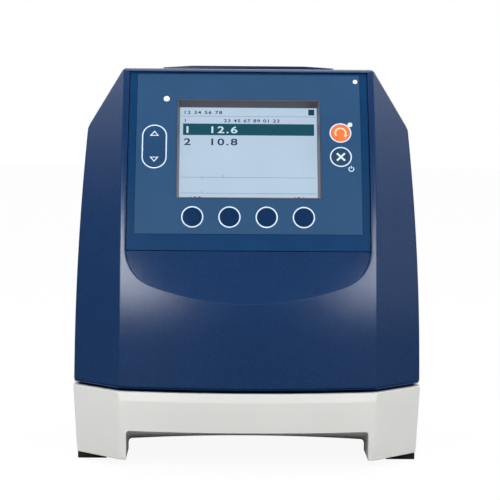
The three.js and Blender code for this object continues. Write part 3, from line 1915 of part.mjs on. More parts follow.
function fanHousing() {
  const shape = roundedRectangle(
    fan.x - fan.half,
    fan.x + fan.half,
    fan.height - fan.half,
    fan.height + fan.half,
    fan.half - fan.bore,
  );
  shape.holes.push(disc(fan.x, fan.height, fan.bore));
  const ring = extrudeY(shape, fanFront, fanRear);
  const plateRear = fanFront + fanFrame.plate;
  const hub = rodY(fanFront, plateRear, fan.x, fan.height, fan.hub);
  const spokes = Array.from({ length: fanFrame.spokes }, (_, i) => {
    const turn = new THREE.Matrix4().makeRotationY((Math.PI * 2 * i) / fanFrame.spokes);
    const place = new THREE.Matrix4().makeTranslation(fan.x, 0, fan.height).multiply(turn);
    const half = fanFrame.spoke / 2;
    return box(-half, half, fanFront, plateRear, fan.hub / 2, fan.bore + (fan.half - fan.bore) / 2, place);
  });
  return join(ring, hub, ...spokes);
}

piece("fan_housing", fanHousing(), finish.black);

function fanRotor() {
  const y0 = fanFront + fanFrame.plate + fanFrame.hubGap;
  const y1 = fanRear - running * 2;
  const hub = rodY(y0, y1, fan.x, fan.height, fan.hub, faces.round);
  const blades = Array.from({ length: fan.blades }, (_, i) => {
    const turn = new THREE.Matrix4().makeRotationY((Math.PI * 2 * i) / fan.blades);
    const pitch = new THREE.Matrix4().makeRotationZ(fan.twist);
    const place = new THREE.Matrix4()
      .makeTranslation(fan.x, (y0 + y1) / 2, fan.height)
      .multiply(turn)
      .multiply(pitch);
    const reach = (y1 - y0) / 2;
    const half = fan.bladeThickness / 2;
    return box(-half, half, -reach, reach, fan.hub / 2, fan.bore - running * 3, place);
  });
  return join(hub, ...blades);
}

piece("fan_rotor", fanRotor(), finish.black);

// Flat cable from the lower edge of the key board down to the main board
function cableSolid() {
  const behindBoard = -keyBoard.behind - keyBoard.thickness - fit;
  const start = new THREE.Vector3(0, keyBoard.postInset - boardBelow, behindBoard);
  start.applyMatrix4(screenFrame);
  const end = new THREE.Vector2(board.front + board.chip * 2, boardTop + fit);
  const bend = new THREE.CubicBezierCurve(
    new THREE.Vector2(start.y, start.z),
    new THREE.Vector2(start.y + board.chip, start.z - board.chip),
    new THREE.Vector2(end.x, end.y + board.chip * 2),
    end,
  );
  const near = [];
  const far = [];
  for (const t of spread(0, 1, faces.small)) {
    const point = bend.getPoint(t);
    const tangent = bend.getTangent(t);
    const aside = new THREE.Vector2(-tangent.y, tangent.x).multiplyScalar(cable.thickness / 2);
    near.push([point.x - aside.x, point.y - aside.y]);
    far.unshift([point.x + aside.x, point.y + aside.y]);
  }
  return extrudeX(outline([...near, ...far]), -cable.half, cable.half);
}

piece("flat_cable", cableSolid(), finish.taupe);

export default instrument;
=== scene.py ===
import json
import math
from contextlib import contextmanager

import bmesh
import bpy
from mathutils import Matrix, Vector


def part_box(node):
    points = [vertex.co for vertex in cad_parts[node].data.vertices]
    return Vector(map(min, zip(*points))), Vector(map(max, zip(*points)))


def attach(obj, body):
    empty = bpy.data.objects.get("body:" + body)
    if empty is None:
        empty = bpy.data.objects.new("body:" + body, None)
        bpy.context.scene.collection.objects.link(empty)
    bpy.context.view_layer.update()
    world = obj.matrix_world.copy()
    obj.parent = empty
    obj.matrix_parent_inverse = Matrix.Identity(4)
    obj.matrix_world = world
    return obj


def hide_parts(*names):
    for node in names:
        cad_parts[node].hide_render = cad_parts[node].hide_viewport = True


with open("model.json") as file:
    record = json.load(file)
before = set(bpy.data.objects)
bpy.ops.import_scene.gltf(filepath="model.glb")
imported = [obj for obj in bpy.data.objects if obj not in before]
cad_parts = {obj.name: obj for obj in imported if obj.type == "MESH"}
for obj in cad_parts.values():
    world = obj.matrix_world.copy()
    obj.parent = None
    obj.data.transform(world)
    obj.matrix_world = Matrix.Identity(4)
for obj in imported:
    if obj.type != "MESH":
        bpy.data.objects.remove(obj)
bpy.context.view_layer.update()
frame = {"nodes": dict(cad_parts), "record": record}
nodes = frame["nodes"]

# Lengths below are in millimetres. Meshes are written in metres
MM = 0.001
FINE = 1e-6
WELD = 0.004

# Sizes read from the frame
base_low, base_high = (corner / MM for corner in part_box("base_frame"))
shell_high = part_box("upper_housing")[1] / MM
panel_low, panel_high = (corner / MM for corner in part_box("front_panel"))
film_low, film_high = (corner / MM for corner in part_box("overlay_film"))
cover_low, cover_high = (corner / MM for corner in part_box("rear_cover"))
funnel_low, funnel_high = (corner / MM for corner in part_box("hopper_funnel"))
pin_low, pin_high = (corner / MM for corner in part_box("lid_hinge_pin"))

# The form of the body
HALF_WIDTH = base_high.x
TOP = shell_high.z
REAR = base_high.y
BOW = 12.0
FRONT = base_low.y + BOW
FLANK = 41.1
FRONT_HALF = HALF_WIDTH - FLANK
RAKE = 88.0
RAKE_START = 100.0
RAKE_POWER = 1.9
REAR_CHAMFER = 12.0
BASE_TAPER = 3.6
SIDE_STEP = 0.7
SIDE_TAPER = 8.7
SIDE_CROWN = 1.5
SHOULDER_DROP = 52.5

# Panel, film and the recess that they lie in
GAP = 0.4
PANEL_TOP = panel_high.z
SEAM = panel_low.z - GAP
PANEL_HALF = FRONT_HALF - 5.0
PANEL_RECESS = 2.0
PANEL_THICKNESS = 2.0
FILM_THICKNESS = 0.5
SMILE_DROP = 42.2
SMILE_BOTTOM = SEAM - SMILE_DROP
SMILE_EDGE = 0.3
SMILE_SIDE = 0.9
SMILE_RADIUS = FRONT_HALF * 2.27
SMILE_CORNER = 34.0

# Base
BASE_BOTTOM = 6.5
BASE_TOP = 64.0
BASE_BEVEL = 2.0
BEVEL_FOOT = 56.4
BASE_WALL = 5.0
DECK = 4.5
ARCH_HALF = FRONT_HALF - 6.1
ARCH_HEIGHT = 31.2
ARCH_FILLET = 3.0
LIP_BACK = 51.0
LIP_HEIGHT = 18.4
LIP_DROP = 3.0
LEG_DEPTH = 51.0
BAY_HALF = HALF_WIDTH - BASE_TAPER - 25.4

# Housing
HOUSING_BOTTOM = 67.0
WALL = 5.0
FRONT_EXTRA = 1.5
INNER_CHAMFER = 4.0
FLANGE = 3.0
LIP_INSET = 5.3
LIP_WALL = 3.0
LIP_BOTTOM = 58.0
LIP_CLEAR = 0.3
GROOVE = 1.6
CROWN_ROUNDING = 2.2
SEAT_GAP = 0.3
PANEL_LEDGE = 5.0
MOUTH_RIM = 3.7
MOUTH_DEPTH = 20.0
FUNNEL_SEAT = 2.5
POCKETS_AT = (-48, 48)
POCKET_HALF = 10.5
BLOCK_HALF = 65
BLOCK_DEPTH = 12
COVER_LEDGE = 8
COVER_RADIUS = 6.0
OVERRUN = 6.0

# Screen
SCREEN_TOP = 307.3
SCREEN_BOTTOM = 225.8
SCREEN_HALF = 60.5
SCREEN_RECESS = 11.5
SCREEN_TAPER = 1.3
SCREEN_WALL = 0.8
SCREEN_FLANGE = 5.0
FLANGE_THICKNESS = 1.5
BEZEL_CORNER = 0.6
WINDOW_CORNER = 0.35
GLASS_THICKNESS = 1.1

# Controls
KEY_RADIUS = 8.2
KEY_GAP = 0.3
KEY_PROUD = 0.35
KEY_SUNK = 0.05
KEY_EDGE = 0.3
KEY_DEPTH = 3.4
KEY_CROWN = 0.05
KEY_FLANGE = (1.0, -3.5, -2.3)
STEM_SPAN = (-14.0, -2.4)
ROCKER_DEPTH = 4.2
ROCKER_CROWN = 0.1
WEB_HALF = 2.1
WEB_SPAN = (-8.1, -3.6)
PLUNGERS_AT = (-14, 14)
PLUNGER_SPAN = (-9.0, -3.6)
PIPE_DEPTH = 9.0
PIPE_CROWN = 0.12
ROCKER_GAP = 0.5
STEM_RADIUS = 3.0
PRINT_LIFT = 0.09
PRINT_SUNK = 0.1
RING_INNER = 8.3
RING_OUTER = 9.4
ROCKER_X = -80.5
ROCKER_Z = 267.8
ROCKER_HALF = 9.1
ROCKER_LENGTH = 38.3
LIGHTS = {
    "light_pipe_ready": (-70.7, 308.4, 2.6),
    "light_pipe_start": (87.1, 287.4, 1.95),
    "light_pipe_corner": (92.6, 324.1, 2.0),
}
SOFT_KEYS = {f"soft_key_{i + 1}": (-47.5 + 31.4 * i, 209.5) for i in range(4)}
START_KEY = (78.7, 280.2)
ESCAPE_KEY = (78.7, 260.1)
KEYS = {**SOFT_KEYS, "start_key": START_KEY, "escape_key": ESCAPE_KEY}


# Form functions

def clamp01(value):
    return min(1.0, max(0.0, value))


def lean_at(z):
    return RAKE * clamp01((z - RAKE_START) / (TOP - RAKE_START)) ** RAKE_POWER


def bow_at(z):
    """How far the middle of the front stands ahead of its corners."""
    share = clamp01((z - SMILE_BOTTOM) / (TOP - SMILE_BOTTOM))
    return BOW * (1 - share * share * (3 - 2 * share))


def inner_bow_at(z):
    """The same for the inside, which has gone flat behind the panel."""
    return BOW * (1 - clamp01((z - SMILE_BOTTOM) / (SEAM - SMILE_BOTTOM)))


def face_at(z):
    """Y of the panel's face."""
    return FRONT + lean_at(z) + PANEL_RECESS


def lean_of_face(z):
    return math.atan2(face_at(z + 1) - face_at(z - 1), 2)


def skin_at(x, z):
    """Y of the housing's outer front surface."""
    return FRONT + lean_at(z) - bow_at(z) * (1 - min(1.0, (x / FRONT_HALF) ** 2))


def ground_at(x, z):
    """Y of the panel's face, and below it of the recess floor, which rises to the skin at the wide arc."""
    if z >= SEAM:
        return face_at(z)
    x = max(-FRONT_HALF, min(FRONT_HALF, x))
    low = SMILE_BOTTOM + SMILE_RADIUS - math.sqrt(SMILE_RADIUS ** 2 - x ** 2)
    low_y = skin_at(x, low) + SMILE_EDGE + SMILE_SIDE * (x / FRONT_HALF) ** 2
    return low_y + (face_at(SEAM) - low_y) * (z - low) / (SEAM - low)


def base_half_at(z):
    share = (z - BASE_BOTTOM) / (BASE_TOP - BASE_BOTTOM)
    return HALF_WIDTH - BASE_TAPER * (1 - share)


def housing_half_at(z):
    share = (z - HOUSING_BOTTOM) / (TOP - SHOULDER_DROP - HOUSING_BOTTOM)
    inner = clamp01(share)
    crown = 4 * SIDE_CROWN * inner * (1 - inner)
    return HALF_WIDTH - SIDE_STEP - SIDE_TAPER * share + crown


def shoulder_half_at(z):
    """Half width where the sloped shoulders cut the sides."""
    run = HALF_WIDTH - SIDE_STEP - SIDE_TAPER - FRONT_HALF
    return FRONT_HALF + run * (TOP - z) / SHOULDER_DROP


# Mesh helpers

def linked(name, data):
    """An object for some data, in the scene."""
    obj = bpy.data.objects.new(name, data)
    bpy.context.scene.collection.objects.link(obj)
    return obj


def removed(objects):
    """Takes mesh objects out of the file."""
    for obj in objects:
        mesh = obj.data
        bpy.data.objects.remove(obj)
        bpy.data.meshes.remove(mesh)


@contextmanager
def edited(mesh):
    """The mesh as a bmesh, written back at the end."""
    work = bmesh.new()
    work.from_mesh(mesh)
    yield work
    work.to_mesh(mesh)
    work.free()


def mesh_object(name, points, faces):
    """A mesh from points in millimetres."""
    mesh = bpy.data.meshes.new(name)
    mesh.from_pydata([tuple(float(c) * MM for c in p) for p in points], [], faces)
    mesh.validate()
    mesh.update()
    return linked(name, mesh)


def outward(obj):
    """Turns all faces outwards."""
    with edited(obj.data) as work:
        bmesh.ops.recalc_face_normals(work, faces=work.faces)
    return obj


def loft(name, rings, closed=False):
    """A skin over rings of equally many points, with end faces, or closed back to the first ring."""
    count = len(rings[0])
    points = [p for ring in rings for p in ring]
    size = len(points)
    faces = []
    for j in range(len(rings) if closed else len(rings) - 1):
        for i in range(count):
            a, b = j * count + i, j * count + (i + 1) % count
            faces.append((a, b, (b + count) % size, (a + count) % size))
    if not closed:
        faces.append(tuple(reversed(range(count))))
        faces.append(tuple(range(size - count, size)))
    return outward(mesh_object(name, points, faces))


def box_object(name, x0, x1, y0, y1, z0, z1):
    ring = [(x0, y0), (x1, y0), (x1, y1), (x0, y1)]
    return loft(name, [[(x, y, z) for x, y in ring] for z in (z0, z1)])


def evaluated_mesh(obj):
    """A new mesh of the object with its modifiers applied."""
    bpy.context.view_layer.update()
    graph = bpy.context.evaluated_depsgraph_get()
    return bpy.data.meshes.new_from_object(obj.evaluated_get(graph))


def settled(obj):
    """Applies the object's modifiers to its mesh."""
    mesh = evaluated_mesh(obj)
    old = obj.data
    obj.modifiers.clear()
    obj.data = mesh
    bpy.data.meshes.remove(old)
    return obj


def combine(obj, others, operation="DIFFERENCE"):
    """Cuts, joins or intersects obj with the others, and removes them."""
    for other in others:
        modifier = obj.modifiers.new("cut", "BOOLEAN")
        modifier.operation = operation
        modifier.solver = "MANIFOLD"
        modifier.object = other
    settled(obj)
    removed(others)
    return obj


def cleaned(obj, distance):
    """Cuts the many-sided faces into triangles, welds close points and turns the faces outwards."""
    with edited(obj.data) as work:
        many_sided = [face for face in work.faces if len(face.verts) > 4]
        bmesh.ops.triangulate(work, faces=many_sided, ngon_method="EAR_CLIP")
        bmesh.ops.remove_doubles(work, verts=work.verts, dist=distance * MM)
        bmesh.ops.dissolve_degenerate(work, dist=distance * MM, edges=work.edges)
        if work.calc_volume(signed=True) < 0:
            bmesh.ops.reverse_faces(work, faces=work.faces)
    return obj


def smoothed(obj, degrees=32.0):
    """Smooth shading that keeps edges above an angle sharp."""
    obj.data.shade_smooth()
    obj.data.set_sharp_from_angle(angle=math.radians(degrees))
    return obj


def weighted(obj):
    """Normals that follow the large faces."""
    modifier = obj.modifiers.new("normals", "WEIGHTED_NORMAL")
    modifier.keep_sharp = True
    modifier.weight = 60
    return settled(obj)


def finished(obj, degrees, distance=0.01):
    """Cleans and shades a mesh that was cut."""
    return weighted(smoothed(cleaned(obj, distance), degrees))


def rounded(obj, width, segments=3, degrees=30.0):
    """Rounds the edges above an angle."""
    modifier = obj.modifiers.new("round", "BEVEL")
    modifier.width = width * MM
    modifier.segments = segments
    modifier.limit_method = "ANGLE"
    modifier.angle_limit = math.radians(degrees)
    modifier.miter_outer = "MITER_ARC"
    modifier.use_clamp_overlap = True
    return settled(obj)


def copy_of(node, name):
    """A copy of a node's mesh with its flat faces merged, to be refined."""
    obj = linked(name, nodes[node].data.copy())
    obj.data.materials.clear()
    with edited(obj.data) as work:
        bmesh.ops.remove_doubles(work, verts=work.verts, dist=0.002 * MM)
        bmesh.ops.dissolve_limit(work, angle_limit=math.radians(0.6), verts=work.verts, edges=work.edges)
    return obj


def placed(obj, body, material, slot, *replaced):
    """Rides on a body, with its material, in place of the nodes named. The slot argument is not used."""
    obj.data.materials.clear()
    obj.data.materials.append(material)
    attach(obj, body)
    if replaced:
        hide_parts(*replaced)
    return obj


def spread(low, high, steps):
    return [low + (high - low) * i / steps for i in range(steps + 1)]


def corner_arcs(corners, radii, steps):
    """A closed outline with its corners rounded, each by its own radius."""
    out = []
    count = len(corners)
    for i, (corner, radius) in enumerate(zip(corners, radii)):
        here = Vector(corner)
        before = Vector(corners[i - 1]) - here
        after = Vector(corners[(i + 1) % count]) - here
        reach = min(before.length, after.length) * 0.49
        half = before.angle(after) / 2
        radius = min(radius, reach * math.tan(half))
        length = radius / math.tan(half)
        centre = here + (before.normalized() + after.normalized()).normalized() * (radius / math.sin(half))
        start = here + before.normalized() * length - centre
        end = here + after.normalized() * length - centre
        sweep = start.angle(end) if start.length > FINE and end.length > FINE else 0.0
        sign = 1.0 if start.cross(end) > 0 else -1.0
        for k in range(steps + 1):
            turn = Matrix.Rotation(sign * sweep * k / steps, 2)
            out.append(centre + turn @ start)
    return out


# Rings of the eight-sided plan

FRONT_STEPS = 64
CORNER_STEPS = 4
EDGE_RADII = (3.0, 3.0, 4.0, 5.0, 5.0, 5.0, 5.0, 4.0)
LEAST_CHAMFER = 0.5


def plan_ring(z, half, lean, bow, inset=0.0, shift=0.0, chamfer=REAR_CHAMFER, scale=1.0,
              front_steps=FRONT_STEPS):
    """One ring of the plan with rounded corners, from the front left corner on."""
    turn = inset * math.tan(math.pi / 8)
    corner_x = min(FRONT_HALF + shift, half) - turn
    face_y = FRONT + lean + shift + inset
    side = half - inset
    flank_y = FRONT + lean + (half - FRONT_HALF) + turn
    chamfer = max(chamfer, LEAST_CHAMFER)
    back_y = REAR - chamfer - turn
    back_x = half - chamfer - turn
    corners = [
        (-corner_x, face_y), (corner_x, face_y), (side, flank_y), (side, back_y),
        (back_x, REAR - inset), (-back_x, REAR - inset), (-side, back_y), (-side, flank_y),
    ]
    points = corner_arcs(corners, [radius * scale for radius in EDGE_RADII], CORNER_STEPS)
    size = CORNER_STEPS + 1
    left_end, right_start = points[size - 1], points[size]
    front = [left_end.lerp(right_start, k / front_steps) for k in range(1, front_steps)]
    ring = []
    for p in points[:size] + front + points[size:]:
        bowed = 1 - min(1.0, (p.x / corner_x) ** 2) if p.y < flank_y - FINE else 0.0
        ring.append((p.x, p.y - bow * bowed, z))
    return ring


# Materials

def linear(red, green, blue):
    """A display colour, 0 to 255, as the shader's linear one."""
    def one(value):
        share = value / 255
        return share / 12.92 if share <= 0.04045 else ((share + 0.055) / 1.055) ** 2.4
    return (one(red), one(green), one(blue), 1.0)


def feed(tree, node, inputs):
    """Gives each input of a node a value, or a link from another node's output."""
    for socket, value in inputs.items():
        if isinstance(value, bpy.types.NodeSocket):
            tree.links.new(value, node.inputs[socket])
        else:
            node.inputs[socket].default_value = value


def add_node(tree, kind, inputs, **settings):
    """A new node with its settings made and its inputs fed. Returns its outputs."""
    node = tree.nodes.new("ShaderNode" + kind)
    for name, value in settings.items():
        setattr(node, name, value)
    feed(tree, node, inputs)
    return node.outputs


class Shader:
    """A material's node tree with short calls for the nodes used here."""

    def __init__(self, name, color, roughness, metallic=0.0, shine=0.5):
        self.material = bpy.data.materials.new(name)
        self.material.use_nodes = True
        self.tree = self.material.node_tree
        self.bsdf = self.tree.nodes["Principled BSDF"]
        self.surface({"Base Color": color, "Roughness": roughness, "Metallic": metallic,
                      "Specular IOR Level": shine})
        self.coordinates = self.node("TexCoord", {})["Object"]

    def node(self, kind, inputs, **settings):
        return add_node(self.tree, kind, inputs, **settings)

    def surface(self, inputs):
        feed(self.tree, self.bsdf, inputs)

    def noise(self, scale, detail=2.0, stretch=(1, 1, 1)):
        place = self.node("Mapping", {"Vector": self.coordinates, "Scale": stretch})["Vector"]
        return self.node("TexNoise", {"Vector": place, "Scale": scale, "Detail": detail})["Fac"]

    def cells(self, scale):
        return self.node("TexVoronoi", {"Vector": self.coordinates, "Scale": scale})["Distance"]

    def ranged(self, source, low, high):
        """Brings the middle part of a noise to a range."""
        return self.node("MapRange", {"Value": source, "From Min": 0.3, "From Max": 0.7,
                                      "To Min": low, "To Max": high})["Result"]

    def mixed(self, factor, first, second):
        return self.node("Mix", {0: factor, 6: first, 7: second}, data_type="RGBA")[2]

    def added(self, first, second, share):
        return self.node("Math", {0: second, 1: share, 2: first}, operation="MULTIPLY_ADD")[0]

    def bump(self, height, strength, distance):
        normal = self.node("Bump", {"Height": height, "Strength": strength, "Distance": distance * MM})
        self.surface({"Normal": normal["Normal"]})


def grey(level):
    return (level, level, level, 1.0)


def tinted(color, share):
    """A colour made lighter or darker by a share."""
    return tuple(c * share for c in color[:3]) + (1.0,)


def moulded(name, color, roughness, grain, depth, varied=0.06, patch=14.0, shine=0.5):
    """Moulded plastic: spark-eroded grain of a cell size in millimetres, with slight colour variation."""
    shader = Shader(name, color, roughness, shine=shine)
    patches = shader.ranged(shader.noise(1000 / patch, 3.0), 0.0, 1.0)
    speckle = shader.noise(1000 / (grain * 0.45), 3.0)
    shader.surface({
        "Base Color": shader.mixed(patches, tinted(color, 1 - varied), tinted(color, 1 + varied)),
        "Roughness": shader.ranged(speckle, roughness - 0.05, roughness + 0.07),
    })
    shader.bump(shader.added(shader.cells(1000 / grain), speckle, 0.8), 1.0, depth)
    return shader.material


def sheet_metal(name, color, roughness, stretch=(1, 1, 40)):
    """Metal with fine drawn lines along one axis."""
    shader = Shader(name, color, roughness, 1.0)
    lines = shader.noise(220.0, 3.0, stretch)
    shader.surface({"Roughness": shader.ranged(lines, roughness - 0.07, roughness + 0.1)})
    shader.bump(lines, 0.25, 0.03)
    return shader.material


BLUE = linear(14, 50, 94)
PANEL_BLUE = linear(12, 59, 103)
FILM_BLUE = linear(46, 82, 120)
NAVY = linear(10, 46, 86)
WHITE = linear(226, 226, 223)
PRINT = linear(214, 234, 252)

housing_blue = moulded("housing_blue", BLUE, 0.25, 0.9, 0.035)
panel_blue = moulded("panel_blue", PANEL_BLUE, 0.24, 0.35, 0.008, shine=0.3)
film_blue = moulded("film_blue", FILM_BLUE, 0.24, 0.3, 0.006, 0.04, 30.0, shine=0.35)
rocker_blue = moulded("rocker_blue", linear(38, 74, 114), 0.24, 0.3, 0.006, 0.04, 30.0, shine=0.3)
key_navy = moulded("key_navy", NAVY, 0.3, 0.55, 0.02, shine=0.12)
key_teal = moulded("key_teal", linear(20, 60, 92), 0.42, 0.45, 0.03, shine=0.35)
key_orange = moulded("key_orange", linear(240, 118, 58), 0.42, 0.6, 0.04, 0.05, shine=0.35)
base_white = moulded("base_white", WHITE, 0.45, 0.7, 0.02, 0.015, 40.0, shine=0.4)
bezel_taupe = moulded("bezel_taupe", linear(92, 92, 102), 0.42, 0.35, 0.015, shine=0.35)
print_white = moulded("print_white", PRINT, 0.45, 0.25, 0.004, 0.01)
print_pale = moulded("print_pale", linear(255, 226, 190), 0.45, 0.25, 0.004, 0.02)
rubber_black = moulded("rubber_black", linear(22, 22, 24), 0.75, 0.8, 0.06)
black_plastic = moulded("black_plastic", linear(34, 35, 38), 0.5, 0.5, 0.03)
dark_rotor = moulded("dark_rotor", linear(26, 27, 30), 0.4, 0.6, 0.02)
board_green = moulded("board_green", linear(28, 92, 58), 0.42, 2.4, 0.05, 0.2, 6.0)
cable_grey = moulded("cable_grey", linear(150, 150, 152), 0.5, 1.2, 0.05)
steel = sheet_metal("steel", linear(178, 181, 185), 0.32)
aluminium = sheet_metal("aluminium", linear(196, 198, 202), 0.38, (40, 1, 1))
brass = sheet_metal("brass", linear(196, 160, 86), 0.3, (1, 30, 1))


def clear_material(name, color, roughness):
    """Glass, a little uneven."""
    shader = Shader(name, color, roughness)
    shader.surface({"Transmission Weight": 0.9, "IOR": 1.47})
    shader.bump(shader.noise(300.0), 0.05, 0.02)
    return shader.material


def lit_material(name, color, strength, variation):
    """A dark surface with light of its own, such as a backlit screen."""
    shader = Shader(name, tinted(color, 0.08), 0.25, shine=0.3)
    cloud = shader.ranged(shader.noise(22.0, 1.0), 0.0, 1.0)
    glow = shader.mixed(cloud, tinted(color, 1 - variation), color)
    shader.surface({"Emission Color": glow, "Emission Strength": strength})
    return shader.material


clear_glass = clear_material("clear_glass", (0.92, 0.96, 0.97, 1.0), 0.06)
screen_light = lit_material("screen_light", linear(186, 207, 226), 0.93, 0.06)
pipe_light = lit_material("pipe_light", linear(244, 250, 255), 1.0, 0.03)
ink_teal = lit_material("ink_teal", linear(28, 78, 94), 1.0, 0.04)
ink_grey = lit_material("ink_grey", linear(120, 140, 160), 1.0, 0.04)
ink_dark = lit_material("ink_dark", linear(34, 58, 88), 1.0, 0.04)
ink_pale = lit_material("ink_pale", linear(196, 222, 230), 1.0, 0.02)


# Camera, at the photograph's viewing angle

CAMERA_AT = Vector((-24.7, -1780.0, 320.6)) * MM
YAW, PITCH, ROLL = (math.radians(a) for a in (0.895, 4.745, 0.444))
FOCAL_PIXELS = 1987.7
IMAGE_SIZE = 500.0
SENSOR = 36.0


def make_camera():
    ahead = Vector((math.sin(YAW) * math.cos(PITCH), math.cos(YAW) * math.cos(PITCH), -math.sin(PITCH)))
    level = ahead.cross(Vector((0, 0, 1))).normalized()
    above = level.cross(ahead)
    right = level * math.cos(ROLL) + above * math.sin(ROLL)
    up = above * math.cos(ROLL) - level * math.sin(ROLL)
    data = bpy.data.cameras.new("camera")
    data.sensor_width = SENSOR
    data.lens = FOCAL_PIXELS * SENSOR / IMAGE_SIZE
    data.clip_end = 100.0
    obj = linked("camera", data)
    turn = Matrix((right, up, -ahead)).transposed().to_4x4()
    obj.matrix_world = Matrix.Translation(CAMERA_AT) @ turn
    bpy.context.scene.camera = obj


make_camera()


# Housing

def shell_ring(z, inset=0.0):
    """One ring of the housing's outside."""
    full = housing_half_at(z)
    half = min(full, shoulder_half_at(z) + 0.6)
    return plan_ring(z, half, lean_at(z), bow_at(z), inset, chamfer=REAR_CHAMFER - (full - half))


def rounding(top, radius):
    """Heights and insets of a rounded upper edge."""
    angles = spread(0, math.pi / 2, 5)[1:]
    return [(top - radius * (1 - math.sin(a)), radius * (1 - math.cos(a))) for a in angles]


def outer_shell():
    """The outside of the housing: a groove over its lower edge, the wall, and the top in flat rings."""
    depths = [GROOVE * (1 - math.sin(math.pi / 2 * k / 4)) for k in (3, 2, 1, 0)]
    levels = [shell_ring(HOUSING_BOTTOM + depth, depth) for depth in depths]
    heights = spread(HOUSING_BOTTOM + GROOVE, RAKE_START, 6)
    heights += spread(RAKE_START, TOP - CROWN_ROUNDING, 60)[1:]
    levels += [shell_ring(z) for z in heights]
    levels += [shell_ring(z, inset) for z, inset in rounding(TOP, CROWN_ROUNDING)]
    rim = levels[-1]
    middle = (funnel_low.y + funnel_high.y) / 2
    for k in range(1, 8):
        share = 1 - k / 10
        levels.append([(x * share, middle + (y - middle) * share, z) for x, y, z in rim])
    return loft("housing", levels)


def inner_shell():
    """The hollow of the housing."""
    levels = spread(HOUSING_BOTTOM + FLANGE, SMILE_BOTTOM, 6) + spread(SMILE_BOTTOM, SEAM, 6)[1:]
    levels += spread(SEAM, TOP - WALL, 16)[1:]
    rings = []
    for z in levels:
        full = housing_half_at(z)
        half = min(full, shoulder_half_at(z) - 1.0)
        chamfer = max(INNER_CHAMFER, REAR_CHAMFER - (full - half))
        rings.append(plan_ring(z, half, lean_at(z), inner_bow_at(z), WALL, FRONT_EXTRA, chamfer, 0.5, 24))
    return loft("inside", rings)


def base_prism(name, z0, z1, inset):
    """A prism of the base's plan, for the housing's inner lip and the hole in it."""
    half = base_half_at(LIP_BOTTOM)
    return loft(name, [plan_ring(z, half, 0.0, BOW, inset, BASE_BEVEL) for z in (z0, z1)])


def recess_outline(half, top):
    """Points and outward normals of the recess seen from the front."""
    centre = SMILE_BOTTOM + SMILE_RADIUS
    corner_x = half - SMILE_CORNER
    corner_z = centre - math.sqrt((SMILE_RADIUS - SMILE_CORNER) ** 2 - corner_x ** 2)
    tangent = math.atan2(corner_x, centre - corner_z)

    def arc(middle_x, middle_z, radius, start, sweep, steps):
        points = []
        for k in range(steps + 1):
            angle = start + sweep * k / steps
            normal = (math.cos(angle), math.sin(angle))
            points.append(((middle_x + radius * normal[0], middle_z + radius * normal[1]), normal))
        return points

    sweep = math.pi / 2 - tangent
    return [
        *[((-half, z), (-1.0, 0.0)) for z in spread(top, corner_z, 44)[:-1]],
        *arc(-corner_x, corner_z, SMILE_CORNER, math.pi, sweep, 24)[:-1],
        *arc(0.0, centre, SMILE_RADIUS, -math.pi / 2 - tangent, 2 * tangent, 40),
        *arc(corner_x, corner_z, SMILE_CORNER, -math.pi / 2 + tangent, sweep, 24)[1:],
        *[((half, z), (1.0, 0.0)) for z in spread(corner_z, top, 44)[1:]],
    ]


def recess_cutter():
    """The recess with a rounded rim that follows the housing's surface, down to its floor."""
    outline = recess_outline(PANEL_HALF + GAP, PANEL_TOP + GAP)
    rim = 1.2

    def layer(shift_out, y_of):
        ring = []
        for (x, z), (nx, nz) in outline:
            step = max(0.05, ground_at(x, z) - skin_at(x, z))
            radius = min(rim, step * 0.8)
            offset = shift_out * radius
            px, pz = x + nx * offset, z + nz * offset
            ring.append((px, y_of(px, pz, radius), pz))
        return ring

    rings = [layer(1.15, lambda x, z, r: FRONT - BOW - OVERRUN)]
    rings.append(layer(1.15, lambda x, z, r: skin_at(x, z) - 0.12))
    for k in range(6):
        angle = math.pi / 2 * k / 5
        out = 1 - math.sin(angle)
        down = 1 - math.cos(angle)
        rings.append(layer(out, lambda x, z, r, d=down: skin_at(x, z) + r * d))
    rings.append(layer(0.0, lambda x, z, r: 60.0))
    walls = loft("recess", rings)
    heights = spread(SMILE_BOTTOM - 4, SEAM, 14) + spread(SEAM, TOP + 1, 50)[1:]
    far = FRONT - BOW - 2 * OVERRUN
    sections = []
    for x in spread(-FRONT_HALF, FRONT_HALF, 64):
        face = [(x, ground_at(x, z), z) for z in heights]
        sections.append([(x, far, heights[0]), *face, (x, far, heights[-1])])
    return combine(walls, [loft("ahead", sections)], "INTERSECT")


def edged(low, high, steps, edge):
    """Even steps between two ends, with closer ones where an edge is rounded."""
    if not edge:
        return spread(low, high, steps)
    near = (0.15, 0.4, 1.0)
    return [low, *[low + edge * t for t in near], *spread(low + edge, high - edge, steps)[1:-1],
            *[high - edge * t for t in reversed(near)], high]


def face_slab(name, half, z0, z1, front, back, edge=0.0):
    """A sheet between two offsets from the panel's face, its front edge rounded."""
    columns, rows = edged(-half, half, 24, edge), edged(z0, z1, 70, edge)

    def sunk(x, z):
        reach = min(half - abs(x), z - z0, z1 - z)
        return edge - math.sqrt(max(0.0, edge ** 2 - (edge - min(edge, reach)) ** 2))

    points = [(x, face_at(z) + front + sunk(x, z), z) for z in rows for x in columns]
    points += [(x, face_at(z) + back, z) for z in rows for x in columns]
    faces = []
    wide, high = len(columns), len(rows)
    size = wide * high
    for j in range(high - 1):
        for i in range(wide - 1):
            a = j * wide + i
            faces.append((a, a + 1, a + 1 + wide, a + wide))
            faces.append(tuple(size + k for k in (a + wide, a + 1 + wide, a + 1, a)))
    for i in range(wide - 1):
        a, b = i, (high - 1) * wide + i
        faces += [(a, a + size, a + 1 + size, a + 1), (b, b + 1, b + 1 + size, b + size)]
    for j in range(high - 1):
        a, b = j * wide, j * wide + wide - 1
        faces += [(a, a + wide, a + wide + size, a + size), (b, b + size, b + wide + size, b + wide)]
    return outward(mesh_object(name, points, faces))


